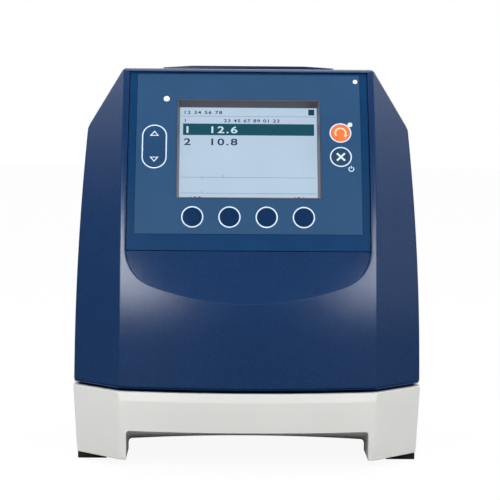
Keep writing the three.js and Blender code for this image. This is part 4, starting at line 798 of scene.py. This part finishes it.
def make_housing():
    """The housing with its recess, seats and openings, and the inner lip that enters the base."""
    shell = outer_shell()
    lip_top = HOUSING_BOTTOM + FLANGE - LIP_CLEAR
    lip = base_prism("lip", LIP_BOTTOM, lip_top, LIP_INSET)
    # The throat is cut before the lip is joined and again after, a little shorter
    throats = [base_prism("throat", LIP_BOTTOM - reach, lip_top + reach, LIP_INSET + LIP_WALL)
               for reach in (OVERRUN, OVERRUN - 1)]
    panel_seat = face_slab("panel_seat", PANEL_HALF + GAP, SEAM, PANEL_TOP + GAP, -3.0,
                           PANEL_THICKNESS + SEAT_GAP)
    window = box_object("window", -PANEL_HALF + PANEL_LEDGE, PANEL_HALF - PANEL_LEDGE, -200, 0,
                        SEAM + PANEL_LEDGE, PANEL_TOP - PANEL_LEDGE)
    mouth_x = funnel_high.x - MOUTH_RIM
    mouth = box_object("mouth", -mouth_x, mouth_x, funnel_low.y + MOUTH_RIM, funnel_high.y - MOUTH_RIM,
                       TOP - MOUTH_DEPTH, TOP + 5)
    seat = box_object("seat", funnel_low.x - SEAT_GAP, funnel_high.x + SEAT_GAP,
                      funnel_low.y - SEAT_GAP, funnel_high.y + SEAT_GAP, TOP - FUNNEL_SEAT, TOP + 5)
    axis_y = (pin_low.y + pin_high.y) / 2
    axis_z = (pin_low.z + pin_high.z) / 2
    pockets = [box_object("pocket", x - POCKET_HALF, x + POCKET_HALF, axis_y - 4, axis_y + 7,
                          axis_z - 3.5, TOP + 5) for x in POCKETS_AT]
    rear_seat = rounded_box("rear_seat", cover_high.x + SEAT_GAP, cover_low.z - SEAT_GAP,
                            cover_high.z + SEAT_GAP, cover_low.y - SEAT_GAP, REAR + 5,
                            COVER_RADIUS + SEAT_GAP)
    rear_hole = rounded_box("rear_hole", cover_high.x - COVER_LEDGE, cover_low.z + COVER_LEDGE,
                            cover_high.z - COVER_LEDGE, REAR - 12, REAR + 5, COVER_RADIUS)
    block = box_object("block", -BLOCK_HALF, BLOCK_HALF, axis_y - 9, REAR - 2.5, TOP - BLOCK_DEPTH,
                       TOP - FUNNEL_SEAT)
    combine(shell, [inner_shell(), throats[0], mouth, seat])
    combine(shell, [lip, block], "UNION")
    combine(shell, [throats[1], recess_cutter(), panel_seat, window, *pockets, rear_hole, rear_seat])
    return placed(finished(shell, 28.0), "case", housing_blue, "blue_housing", "upper_housing")


def rounded_box(name, half, z0, z1, y0, y1, radius, steps=6):
    """A box with its four edges along Y rounded."""
    outline = corner_arcs([(-half, z0), (half, z0), (half, z1), (-half, z1)], [radius] * 4, steps)
    return loft(name, [[(p.x, y, p.y) for p in outline] for y in (y0, y1)])


make_housing()

# White base


def bay_cutter():
    """The space under the deck, with the sloped scoop ahead of its lip."""
    half = ARCH_HALF
    stations = spread(-half, -half + ARCH_FILLET, 8)
    stations += spread(-half + ARCH_FILLET, half - ARCH_FILLET, 60)[1:-1]
    stations += spread(half - ARCH_FILLET, half, 8)
    rings = []
    near, far = FRONT - BOW - OVERRUN, REAR + OVERRUN
    lip_y = FRONT + LIP_BACK
    for x in stations:
        corner = max(0.0, ARCH_FILLET - (half - abs(x)))
        drop = ARCH_FILLET - math.sqrt(max(0.0, ARCH_FILLET ** 2 - corner ** 2))
        lip = LIP_HEIGHT - LIP_DROP * (x / half) ** 2 - drop
        arch = ARCH_HEIGHT - drop
        skin_y = FRONT - BOW * (1 - min(1.0, (x / FRONT_HALF) ** 2))
        rise = (arch - lip) / (lip_y - skin_y)
        low = BASE_BOTTOM - OVERRUN
        section = [(near, low), (far, low), (far, lip), (lip_y, lip), (skin_y, arch),
                   (near, arch + rise * (skin_y - near))]
        rings.append([(x, y, z) for y, z in section])
    return loft("bay", rings)


def base_ring(z, shift=0.0, inset=0.0):
    return plan_ring(z, base_half_at(z), 0.0, BOW, inset, shift)


def make_base():
    """The base moulding, with its bevelled upper edge, bay, arch and hollow."""
    foot, crown, step = 0.8, 1.0, 0.4
    rings = [base_ring(BASE_BOTTOM + foot * (1 - math.cos(a)), 0.0, foot * (1 - math.sin(a)))
             for a in spread(0, math.pi / 2, 4)]
    rings += [base_ring(z) for z in spread(BASE_BOTTOM + foot, BEVEL_FOOT - step, 10)[1:]]
    slope = BASE_BEVEL / (BASE_TOP - BEVEL_FOOT)
    bevel = [(z, 0.0) for z in spread(BEVEL_FOOT + step, BASE_TOP - crown, 4)] + rounding(BASE_TOP, crown)
    rings += [base_ring(z, (z - BEVEL_FOOT) * slope, inset) for z, inset in bevel]
    base = loft("base", rings)
    deck_top = LIP_HEIGHT + DECK
    inside = loft("inside", [plan_ring(z, base_half_at(z), 0.0, BOW, BASE_WALL, BASE_BEVEL)
                             for z in (ARCH_HEIGHT + DECK + 2, BASE_TOP + OVERRUN)])
    lower = box_object("lower", -BAY_HALF, BAY_HALF, FRONT + LIP_BACK + 8, REAR - 20, deck_top,
                       ARCH_HEIGHT + DECK + 4)
    middle = box_object("middle", -BAY_HALF, BAY_HALF, FRONT + LEG_DEPTH, REAR - LEG_DEPTH,
                        BASE_BOTTOM - OVERRUN, LIP_HEIGHT - LIP_DROP)
    chute_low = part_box("outlet_chute")[0] / MM
    opening = box_object("opening", -17.5, 17.5, 12.5, 67.5, chute_low.z - OVERRUN, 60)
    combine(base, [inside, lower, bay_cutter(), middle, opening])
    return placed(finished(base, 24.0), "case", base_white, "white_base", "base_frame")


make_base()

# Control panel and film


def leaning_frame(x, y, z, lean):
    """Axes across, up along a leaning surface and straight out of it."""
    up = Vector((0, math.sin(lean), math.cos(lean)))
    out = Vector((0, -math.cos(lean), math.sin(lean)))
    turn = Matrix((Vector((1, 0, 0)), up, out)).transposed().to_4x4()
    return Matrix.Translation((x, y, z)) @ turn


def face_frame(x, z):
    """The frame of the panel's face at a point."""
    return leaning_frame(x, face_at(z), z, lean_of_face(z))


def above_face(place, u, v, height):
    """A point of a frame on the panel, at a height above the curved face."""
    point = place @ Vector((u, v, 0.0))
    return Vector((point.x, face_at(point.z) - height / math.cos(lean_of_face(point.z)), point.z))


def arc_points(radius, angles, u=0.0, v=0.0):
    return [(u + radius * math.cos(a), v + radius * math.sin(a)) for a in angles]


def disc_points(radius, steps, u=0.0, v=0.0):
    return arc_points(radius, (2 * math.pi * k / steps for k in range(steps)), u, v)


def stadium_points(half, length, steps=24):
    """A slot's outline with round ends, its long axis upright."""
    straight = length / 2 - half
    top = arc_points(half, spread(0, math.pi, steps), 0.0, straight)
    bottom = arc_points(half, spread(math.pi, 2 * math.pi, steps), 0.0, -straight)
    side = spread(straight, -straight, 16)[1:-1]
    return top + [(-half, v) for v in side] + bottom + [(half, -v) for v in side]


def prism_on(name, place, outline, w0, w1):
    """A prism that stands on a frame, between two heights along its outward axis."""
    return loft(name, [[place @ Vector((u, v, w)) for u, v in outline] for w in (w0, w1)])


SCREEN_LEAN = math.atan2(face_at(SCREEN_TOP) - face_at(SCREEN_BOTTOM), SCREEN_TOP - SCREEN_BOTTOM)
SCREEN = leaning_frame(0, (face_at(SCREEN_TOP) + face_at(SCREEN_BOTTOM)) / 2,
                       (SCREEN_TOP + SCREEN_BOTTOM) / 2, SCREEN_LEAN)
SCREEN_HIGH = (SCREEN_TOP - SCREEN_BOTTOM) / math.cos(SCREEN_LEAN) / 2


def rectangle_points(half, high):
    return [(-half, -high), (half, -high), (half, high), (-half, high)]


def control_holes():
    """Cutters for the keys, lights and rocker."""
    holes = [(x, z, disc_points(KEY_RADIUS + KEY_GAP, 64)) for x, z in KEYS.values()]
    holes += [(x, z, disc_points(radius + SEAT_GAP, 40)) for x, z, radius in LIGHTS.values()]
    slot = stadium_points(ROCKER_HALF + ROCKER_GAP, ROCKER_LENGTH + 2 * ROCKER_GAP)
    holes.append((ROCKER_X, ROCKER_Z, slot))
    return [prism_on("hole", face_frame(x, z), outline, -8, 4) for x, z, outline in holes]


def screen_hole():
    reach = SCREEN_WALL + SEAT_GAP
    return prism_on("window", SCREEN, rectangle_points(SCREEN_HALF + reach, SCREEN_HIGH + reach), -14, 9)


def make_panel():
    """The control panel, with the seat of its film."""
    panel = face_slab("panel", PANEL_HALF, SEAM + GAP, PANEL_TOP, 0.0, PANEL_THICKNESS, edge=0.5)
    pocket = face_slab("pocket", film_high.x + SEAT_GAP, film_low.z - SEAT_GAP, film_high.z + SEAT_GAP,
                       -4.0, FILM_THICKNESS + SEAT_GAP)
    combine(panel, [pocket, screen_hole(), *control_holes()])
    return placed(finished(panel, 30.0), "case", panel_blue, "blue_panel", "front_panel")


def make_film():
    film = face_slab("film", film_high.x, film_low.z, film_high.z, 0.0, FILM_THICKNESS, edge=0.15)
    combine(film, [screen_hole(), *control_holes()])
    return placed(finished(film, 30.0, WELD), "case", film_blue, "blue_film", "overlay_film")


make_panel()
make_film()

# Screen


def make_bezel():
    """The tapered frame round the screen, with its flange."""
    rim_x, rim_y = SCREEN_HALF + SCREEN_WALL, SCREEN_HIGH + SCREEN_WALL
    outline = corner_arcs(rectangle_points(rim_x, rim_y), [BEZEL_CORNER] * 4, 3)
    tube = prism_on("bezel", SCREEN, outline, -SCREEN_RECESS, 5.0)
    combine(tube, [face_slab("keep", FRONT_HALF, SMILE_BOTTOM, TOP, 0.05, 60.0)], "INTERSECT")
    flange = prism_on("flange", SCREEN, rectangle_points(rim_x + SCREEN_FLANGE, rim_y + SCREEN_FLANGE),
                      -SCREEN_RECESS, -SCREEN_RECESS + FLANGE_THICKNESS)
    behind = face_slab("behind", FRONT_HALF, SMILE_BOTTOM, TOP, PANEL_THICKNESS + SEAT_GAP, 60.0)
    combine(flange, [behind], "INTERSECT")
    combine(tube, [flange], "UNION")
    ahead = 6.0
    wider = SCREEN_TAPER * ahead / SCREEN_RECESS
    rings = []
    for w, extra in ((-SCREEN_RECESS - 5, -SCREEN_TAPER), (-SCREEN_RECESS, -SCREEN_TAPER), (ahead, wider)):
        corners = rectangle_points(SCREEN_HALF + extra, SCREEN_HIGH + extra)
        outline = corner_arcs(corners, [WINDOW_CORNER] * 4, 3)
        rings.append([SCREEN @ Vector((p.x, p.y, w)) for p in outline])
    combine(tube, [loft("opening", rings)])
    return placed(smoothed(cleaned(tube, WELD), 25.0), "case", bezel_taupe, "taupe_bezel", "display_bezel")


make_bezel()
GLASS_FRONT = -SCREEN_RECESS - SEAT_GAP
PANE_FRONT = GLASS_FRONT - 0.12
MARK_FRONT = GLASS_FRONT - 0.06


def make_screen():
    """The lit face of the screen, behind its frame."""
    x = SCREEN_HALF + SCREEN_WALL + SCREEN_FLANGE - 4.3
    y = SCREEN_HIGH + SCREEN_WALL + SCREEN_FLANGE - 4.3
    outline = corner_arcs(rectangle_points(x, y), [1.0] * 4, 4)
    pane = smoothed(prism_on("screen", SCREEN, outline, GLASS_FRONT - GLASS_THICKNESS, PANE_FRONT))
    return placed(pane, "case", screen_light, "screen_glass", "display_glass")


make_screen()
SCREEN_LEFT, SCREEN_FOOT = -SCREEN_HALF + SCREEN_TAPER, -SCREEN_HIGH + SCREEN_TAPER
SCREEN_WIDE = 2 * (SCREEN_HALF - SCREEN_TAPER)
SCREEN_TALL = 2 * (SCREEN_HIGH - SCREEN_TAPER)


def screen_mark(name, u0, u1, v0, v1):
    """A thin printed block on the screen, in millimetres from its lower left visible corner."""
    x, y = SCREEN_LEFT, SCREEN_FOOT
    corners = [(x + u0, y + v0), (x + u1, y + v0), (x + u1, y + v1), (x + u0, y + v1)]
    return prism_on(name, SCREEN, corners, GLASS_FRONT - 0.14, MARK_FRONT)


def digits(name, text, u, v, height, widened, raised=0.0):
    """Plain numbers on the screen, as a thin mesh."""
    curve = bpy.data.curves.new(name, "FONT")
    curve.body = text
    curve.size = height * MM / 0.7
    curve.extrude = 0.03 * MM
    curve.offset = 0.025 * height * MM
    curve.space_character = 1.2
    source = linked(name + "_text", curve)
    mesh = evaluated_mesh(source)
    bpy.data.objects.remove(source)
    bpy.data.curves.remove(curve)
    place = Matrix.Translation((SCREEN_LEFT + u, SCREEN_FOOT + v, MARK_FRONT + raised))
    scale = Matrix.Diagonal((widened / MM, 1 / MM, 1 / MM, 1.0))
    mesh.transform(Matrix.Diagonal((MM, MM, MM, 1.0)) @ SCREEN @ place @ scale)
    return linked(name, mesh)


def joined(name, parts):
    """Several meshes as one piece."""
    mesh = bpy.data.meshes.new(name)
    with edited(mesh) as work:
        for part in parts:
            work.from_mesh(part.data)
    removed(parts)
    return linked(name, mesh)


def make_screen_marks():
    """A list with a marked line, and a chart's axes, in plain numbers and lines."""
    w, h = SCREEN_WIDE, SCREEN_TALL
    top_line, chart_line, low_line = h * 0.908, h * 0.255, h * 0.088
    lines = [screen_mark("line", 1.0, w - 1.0, v - 0.18, v + 0.18) for v in (top_line, chart_line, low_line)]
    for u, v0, v1 in ((37.3, chart_line, chart_line + 2.6), (19.3, chart_line - 2.0, chart_line),
                      (19.3, low_line, low_line + 2.0)):
        lines.append(screen_mark("tick", u, u + 0.4, v0, v1))
    placed(joined("screen_lines", lines), "case", ink_grey, "screen_glass")
    bar = screen_mark("screen_bar", 2.7, w - 2.3, h * 0.704, h * 0.828)
    placed(bar, "case", ink_teal, "screen_glass")
    texts = [("12 34 56 78", 2.8, 0.932, 3.0, 1.35), ("1", 3.2, 0.845, 2.9, 1.3),
             ("23 45 67 89 01 23", 38.0, 0.845, 2.9, 1.3), ("2   10.8", 3.4, 0.598, 6.2, 1.4),
             ("123", 8.6, 0.018, 3.0, 1.45), ("456", w - 21.5, 0.018, 3.0, 1.45)]
    dark = [digits("text", text, u, h * share, height, widened) for text, u, share, height, widened in texts]
    dark.append(screen_mark("corner", w - 7.2, w - 2.0, h * 0.925, h * 0.988))
    placed(joined("screen_numbers", dark), "case", ink_dark, "screen_glass")
    bright = digits("screen_value", "1   12.6", 3.4, h * 0.728, 6.2, 1.4, 0.06)
    placed(bright, "case", ink_pale, "screen_glass")


make_screen_marks()

# Keys


def domed_cap(name, x, z, radius, outline_of, top, depth, crown, edge):
    """A cap with a rounded edge and a low crown that follows the panel's face."""
    place = face_frame(x, z)
    rings = [[place @ Vector((u, v, -depth)) for u, v in outline_of(0.0)]]
    for a in spread(0, math.pi / 2, 5):
        inset = edge * (1 - math.cos(a))
        rings.append([above_face(place, u, v, top - edge + edge * math.sin(a)) for u, v in outline_of(inset)])
    for share in (0.75, 0.5, 0.25, 0.08):
        inset = edge + (radius - edge) * (1 - share)
        rings.append([above_face(place, u, v, top + crown * (1 - share ** 2)) for u, v in outline_of(inset)])
    return loft(name, rings)


def make_key(node, x, z, material, slot):
    """A key with its cap, flange and stem."""
    cap = domed_cap(node + "_cap", x, z, KEY_RADIUS, lambda inset: disc_points(KEY_RADIUS - inset, 64),
                    KEY_PROUD - KEY_SUNK, KEY_DEPTH, KEY_CROWN, KEY_EDGE)
    place = face_frame(x, z)
    wider, foot, top = KEY_FLANGE
    flange = prism_on("flange", place, disc_points(KEY_RADIUS + wider, 48), foot, top)
    low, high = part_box(node)
    reach = (place.inverted() @ (Vector((x * MM, high.y, low.z)) / MM)).z
    stem = prism_on("stem", place, disc_points(STEM_RADIUS, 32), max(STEM_SPAN[0], reach), STEM_SPAN[1])
    combine(cap, [flange, stem], "UNION")
    return placed(smoothed(cap, 30.0), node + "_body", material, slot, node)


for node, (x, z) in SOFT_KEYS.items():
    make_key(node, x, z, key_navy, "navy_key")
make_key("start_key", *START_KEY, key_orange, "orange_key")
make_key("escape_key", *ESCAPE_KEY, key_teal, "navy_key")


# Printed marks that follow the panel's face

def mark_on(name, x, z, outline, lift, sunk=PRINT_SUNK):
    """A thin print over an outline given along the surface, a little above the face."""
    place = face_frame(x, z)
    return loft(name, [[above_face(place, u, v, h) for u, v in outline] for h in (-sunk, lift)])


def ring_on(name, x, z, outer, inner, lift):
    """A printed ring between two outlines of equally many points."""
    place = face_frame(x, z)
    edges = ((outer, -PRINT_SUNK), (outer, lift), (inner, lift), (inner, -PRINT_SUNK))
    return loft(name, [[above_face(place, u, v, h) for u, v in outline] for outline, h in edges], True)


def band(name, x, z, radius, width, start, end, lift):
    """A printed band along an arc, angles in degrees."""
    place = face_frame(x, z)
    outer, inner = radius + width / 2, radius - width / 2
    edges = ((outer, lift), (inner, lift), (inner, -PRINT_SUNK), (outer, -PRINT_SUNK))
    sections = []
    for angle in (math.radians(a) for a in spread(start, end, 36)):
        c, s = math.cos(angle), math.sin(angle)
        sections.append([above_face(place, reach * c, reach * s, h) for reach, h in edges])
    return loft(name, sections)


def bar_outline(u0, v0, u1, v1, width):
    """A straight bar between two points."""
    along = Vector((u1 - u0, v1 - v0)).normalized()
    aside = Vector((-along.y, along.x)) * width / 2
    a, b = Vector((u0, v0)), Vector((u1, v1))
    return [tuple(p) for p in (a - aside, b - aside, b + aside, a + aside)]


def triangle_ring(name, x, z, half, high, width, centre_v, pointing, lift):
    """An open arrow head that points up or down."""
    foot = centre_v - pointing * high / 2
    outer = [(-half, foot), (half, foot), (0.0, centre_v + pointing * high / 2)]
    middle = centre_v - pointing * high / 6
    share = 1 - width
    inner = [(u * share, middle + (v - middle) * share) for u, v in outer]
    return ring_on(name, x, z, outer, inner, lift)


def make_prints():
    """The rings round the keys and the rocker, and the power sign."""
    rings = [ring_on("ring", x, z, disc_points(RING_OUTER, 96), disc_points(RING_INNER, 96), PRINT_LIFT)
             for x, z in KEYS.values()]
    outer, inner = (stadium_points(ROCKER_HALF + more, ROCKER_LENGTH + 2 * more, 40) for more in (1.6, 0.5))
    rings.append(ring_on("ring", ROCKER_X, ROCKER_Z, outer, inner, PRINT_LIFT))
    power = (87.4, 250.0)
    rings.append(band("power", *power, 2.1, 0.8, 125, 415, PRINT_LIFT))
    rings.append(mark_on("power", *power, bar_outline(0, 0.5, 0, 2.9, 0.8), PRINT_LIFT))
    placed(joined("film_print", rings), "case", print_white, "blue_film")


def key_marks():
    """The cross on the escape key and the turned arrow on the start key."""
    lift = KEY_PROUD + 0.05
    cross = [mark_on("bar", *ESCAPE_KEY, bar_outline(-3.4, -v, 3.4, v, 1.7), lift, -0.2) for v in (3.4, -3.4)]
    combine(cross[0], [cross[1]], "UNION")
    cross[0].name = "escape_mark"
    placed(cross[0], "escape_key_body", print_white, "navy_key")
    turn = [band("turn", *START_KEY, 4.5, 1.3, -35, 215, lift + 0.02),
            mark_on("turn", *START_KEY, [(6.3, -1.6), (2.9, -2.0), (4.0, -4.6)], lift + 0.03, -0.2)]
    placed(joined("start_mark", turn), "start_key_body", print_pale, "orange_key")


make_prints()
key_marks()


def make_rocker():
    """The scroll rocker: a long, slightly domed cap with its web, plungers and arrows."""
    outline_of = lambda inset: stadium_points(ROCKER_HALF - inset, ROCKER_LENGTH - 2 * inset, 24)
    cap = domed_cap("rocker", ROCKER_X, ROCKER_Z, ROCKER_HALF, outline_of,
                    KEY_PROUD - KEY_SUNK, ROCKER_DEPTH, ROCKER_CROWN, KEY_EDGE)
    place = face_frame(ROCKER_X, ROCKER_Z)
    web = prism_on("web", place, rectangle_points(ROCKER_HALF, WEB_HALF), *WEB_SPAN)
    plungers = [prism_on("plunger", place, disc_points(STEM_RADIUS, 24, 0.0, v), *PLUNGER_SPAN)
                for v in PLUNGERS_AT]
    combine(cap, [web, *plungers], "UNION")
    placed(smoothed(cap, 30.0), "rocker", rocker_blue, "blue_film", "scroll_rocker")
    marks = [triangle_ring("arrow", ROCKER_X, ROCKER_Z, 3.9, 4.9, 0.42, v, pointing, KEY_PROUD + 0.08)
             for v, pointing in ((12.6, 1), (-12.2, -1))]
    placed(joined("rocker_marks", marks), "rocker", print_white, "blue_film")


make_rocker()


def make_lights():
    """The ends of the light pipes, slightly domed."""
    for node, (x, z, radius) in LIGHTS.items():
        outline_of = lambda inset, r=radius: disc_points(r - inset, 40)
        pipe = domed_cap(node + "_dome", x, z, radius, outline_of, PIPE_CROWN, PIPE_DEPTH, PIPE_CROWN, 0.1)
        placed(smoothed(pipe, 30.0), "case", pipe_light, "light_pipe", node)


make_lights()

# Lid


def make_lid():
    """The hopper lid: the solid with its edges rounded."""
    lid = copy_of("hopper_lid", "lid")
    rounded(lid, 0.5, 3, 8.0)
    return placed(smoothed(lid, 25.0), "lid", housing_blue, "blue_housing", "hopper_lid")


make_lid()

# Other visible pieces: their solids, most with small rounded edges


def refined(node, material, slot, width=0.0, segments=2):
    """A node's solid with its edges rounded by a width, or left sharp."""
    piece = copy_of(node, node + "_fine")
    if width:
        rounded(piece, width, segments, 40.0)
    return placed(smoothed(piece, 30.0), "case", material, slot, node)


for node in ("foot_front_left", "foot_front_right", "foot_rear_left", "foot_rear_right"):
    refined(node, rubber_black, "foot_rubber", 0.8, 3)
refined("rear_cover", housing_blue, "blue_housing")
refined("hopper_funnel", black_plastic, "black_plastic", 0.5)
refined("outlet_chute", black_plastic, "black_plastic", 0.4)
refined("power_inlet", black_plastic, "black_plastic", 0.35)
refined("data_socket", steel, "steel", 0.25)

# Materials of the carried-over nodes

NODE_MATERIALS = {
    "steel": steel,
    "aluminium": aluminium,
    "brass": brass,
    "circuit_board": board_green,
    "clear_glass": clear_glass,
    "black_plastic": black_plastic,
    "light_pipe": pipe_light,
    "white_base": base_white,
    "blue_housing": housing_blue,
    "blue_panel": panel_blue,
    "blue_film": film_blue,
    "navy_key": key_navy,
    "orange_key": key_orange,
    "taupe_bezel": bezel_taupe,
    "screen_glass": screen_light,
    "foot_rubber": rubber_black,
}
SPECIAL = {"flat_cable": cable_grey, "fan_rotor": dark_rotor}
for part in frame["record"]["subparts"]:
    node = nodes[part["node"]]
    material = SPECIAL.get(part["node"], NODE_MATERIALS[part["material_slot"]])
    if not node.data.materials:
        node.data.materials.append(material)
    for i in range(len(node.data.materials)):
        node.data.materials[i] = material


# Floor, world and lamps

FLOOR_SIZE = 6000.0
FLOOR_SEEN = 0.9
FLOOR_BOUNCE = 0.4
FLOOR_MIRRORED = 0.08
FLOOR_GLOW = 0.93
BACKDROP_DEPTH = (-0.05, 0.4)
BACKDROP_HEIGHT = (0.2, 0.7)
BACKDROP_LEVEL = 2.6
CARD_SIDE = (0.75, 1.0)
CARD_LEVEL = 0.45
ROOM_LEVEL = 0.05
LIGHTS_AIM = Vector((0.0, -0.05, 0.18))


def make_floor():
    """A sheet that is almost pure white to the camera, with a faint shadow, and darker from elsewhere."""
    corners = [(FLOOR_SIZE * x, FLOOR_SIZE * y, 0) for x, y in ((-1, -1), (1, -1), (1, 1), (-1, 1))]
    floor = mesh_object("floor", corners, [(0, 1, 2, 3)])
    shader = Shader("floor_white", grey(FLOOR_SEEN), 0.9, shine=0.0)
    path = shader.node("LightPath", {})
    shade = shader.mixed(path["Is Camera Ray"], grey(FLOOR_BOUNCE), grey(FLOOR_SEEN))
    shader.surface({"Base Color": shader.mixed(path["Is Glossy Ray"], shade, grey(FLOOR_MIRRORED))})
    glow = shader.node("Emission", {"Strength": 1.0})[0]
    seen = shader.node("Math", {0: path["Is Camera Ray"], 1: FLOOR_GLOW}, operation="MULTIPLY")[0]
    both = shader.node("MixShader", {0: seen, 1: shader.bsdf.outputs[0], 2: glow})[0]
    feed(shader.tree, shader.tree.nodes["Material Output"], {"Surface": both})
    floor.data.materials.append(shader.material)


make_floor()


def make_world():
    """White to the camera. Other rays see a dark room with a bright backdrop, and a card on the right."""
    world = bpy.data.worlds.new("studio")
    bpy.context.scene.world = world
    world.use_nodes = True
    tree = world.node_tree

    def ramp(source, low, high, top=1.0):
        return add_node(tree, "MapRange", {"Value": source, "From Min": low, "From Max": high, "To Min": 0.0,
                                           "To Max": top}, interpolation_type="SMOOTHSTEP")["Result"]

    def math_node(operation, first, second):
        return add_node(tree, "Math", {0: first, 1: second}, operation=operation)[0]

    x, y, z = add_node(tree, "SeparateXYZ", {"Vector": add_node(tree, "TexCoord", {})["Generated"]})
    backdrop = math_node("MULTIPLY", ramp(y, *BACKDROP_DEPTH), ramp(z, *BACKDROP_HEIGHT, BACKDROP_LEVEL))
    card = ramp(x, *CARD_SIDE, CARD_LEVEL)
    light = math_node("ADD", math_node("ADD", backdrop, card), ROOM_LEVEL)
    path = add_node(tree, "LightPath", {})
    seen = math_node("MAXIMUM", path["Is Camera Ray"], path["Is Transmission Ray"])
    level = add_node(tree, "Mix", {0: seen, 2: light, 3: 1.0})[0]
    feed(tree, tree.nodes["Background"], {"Color": grey(1.0), "Strength": level})


make_world()


def soft_box(name, azimuth, elevation, distance, size, radiance, lights=True, mirrored=True):
    """A rectangular light that faces the object, placed by its direction from it in degrees."""
    across, up = math.radians(azimuth), math.radians(elevation)
    aim = Vector((math.sin(across) * math.cos(up), -math.cos(across) * math.cos(up), math.sin(up)))
    data = bpy.data.lights.new(name, "AREA")
    data.shape = "RECTANGLE"
    data.size, data.size_y = size
    data.energy = radiance * math.pi * size[0] * size[1]
    obj = linked(name, data)
    obj.location = LIGHTS_AIM + aim * distance
    obj.rotation_euler = (-aim).to_track_quat("-Z", "Y").to_euler()
    obj.visible_camera = False
    obj.visible_diffuse = lights
    obj.visible_glossy = mirrored


soft_box("left", -34.0, 32.0, 2.0, (1.0, 0.85), 7.6, mirrored=False)
soft_box("right", 40.0, 32.0, 2.0, (1.0, 0.85), 6.8, mirrored=False)
soft_box("left_mirrored", -33.0, 20.5, 2.0, (0.9, 0.88), 11.0, lights=False)
soft_box("right_mirrored", 36.0, 20.0, 2.0, (0.8, 0.86), 8.5, lights=False)
soft_box("overhead_mirrored", 0.0, 88.0, 1.8, (1.4, 0.4), 3.0, lights=False)
soft_box("left_fill", -80.0, 15.0, 2.2, (1.2, 1.2), 2.2, mirrored=False)
soft_box("right_fill", 80.0, 15.0, 2.2, (1.2, 1.2), 1.6, mirrored=False)

view = bpy.context.scene.view_settings
view.view_transform = "Standard"
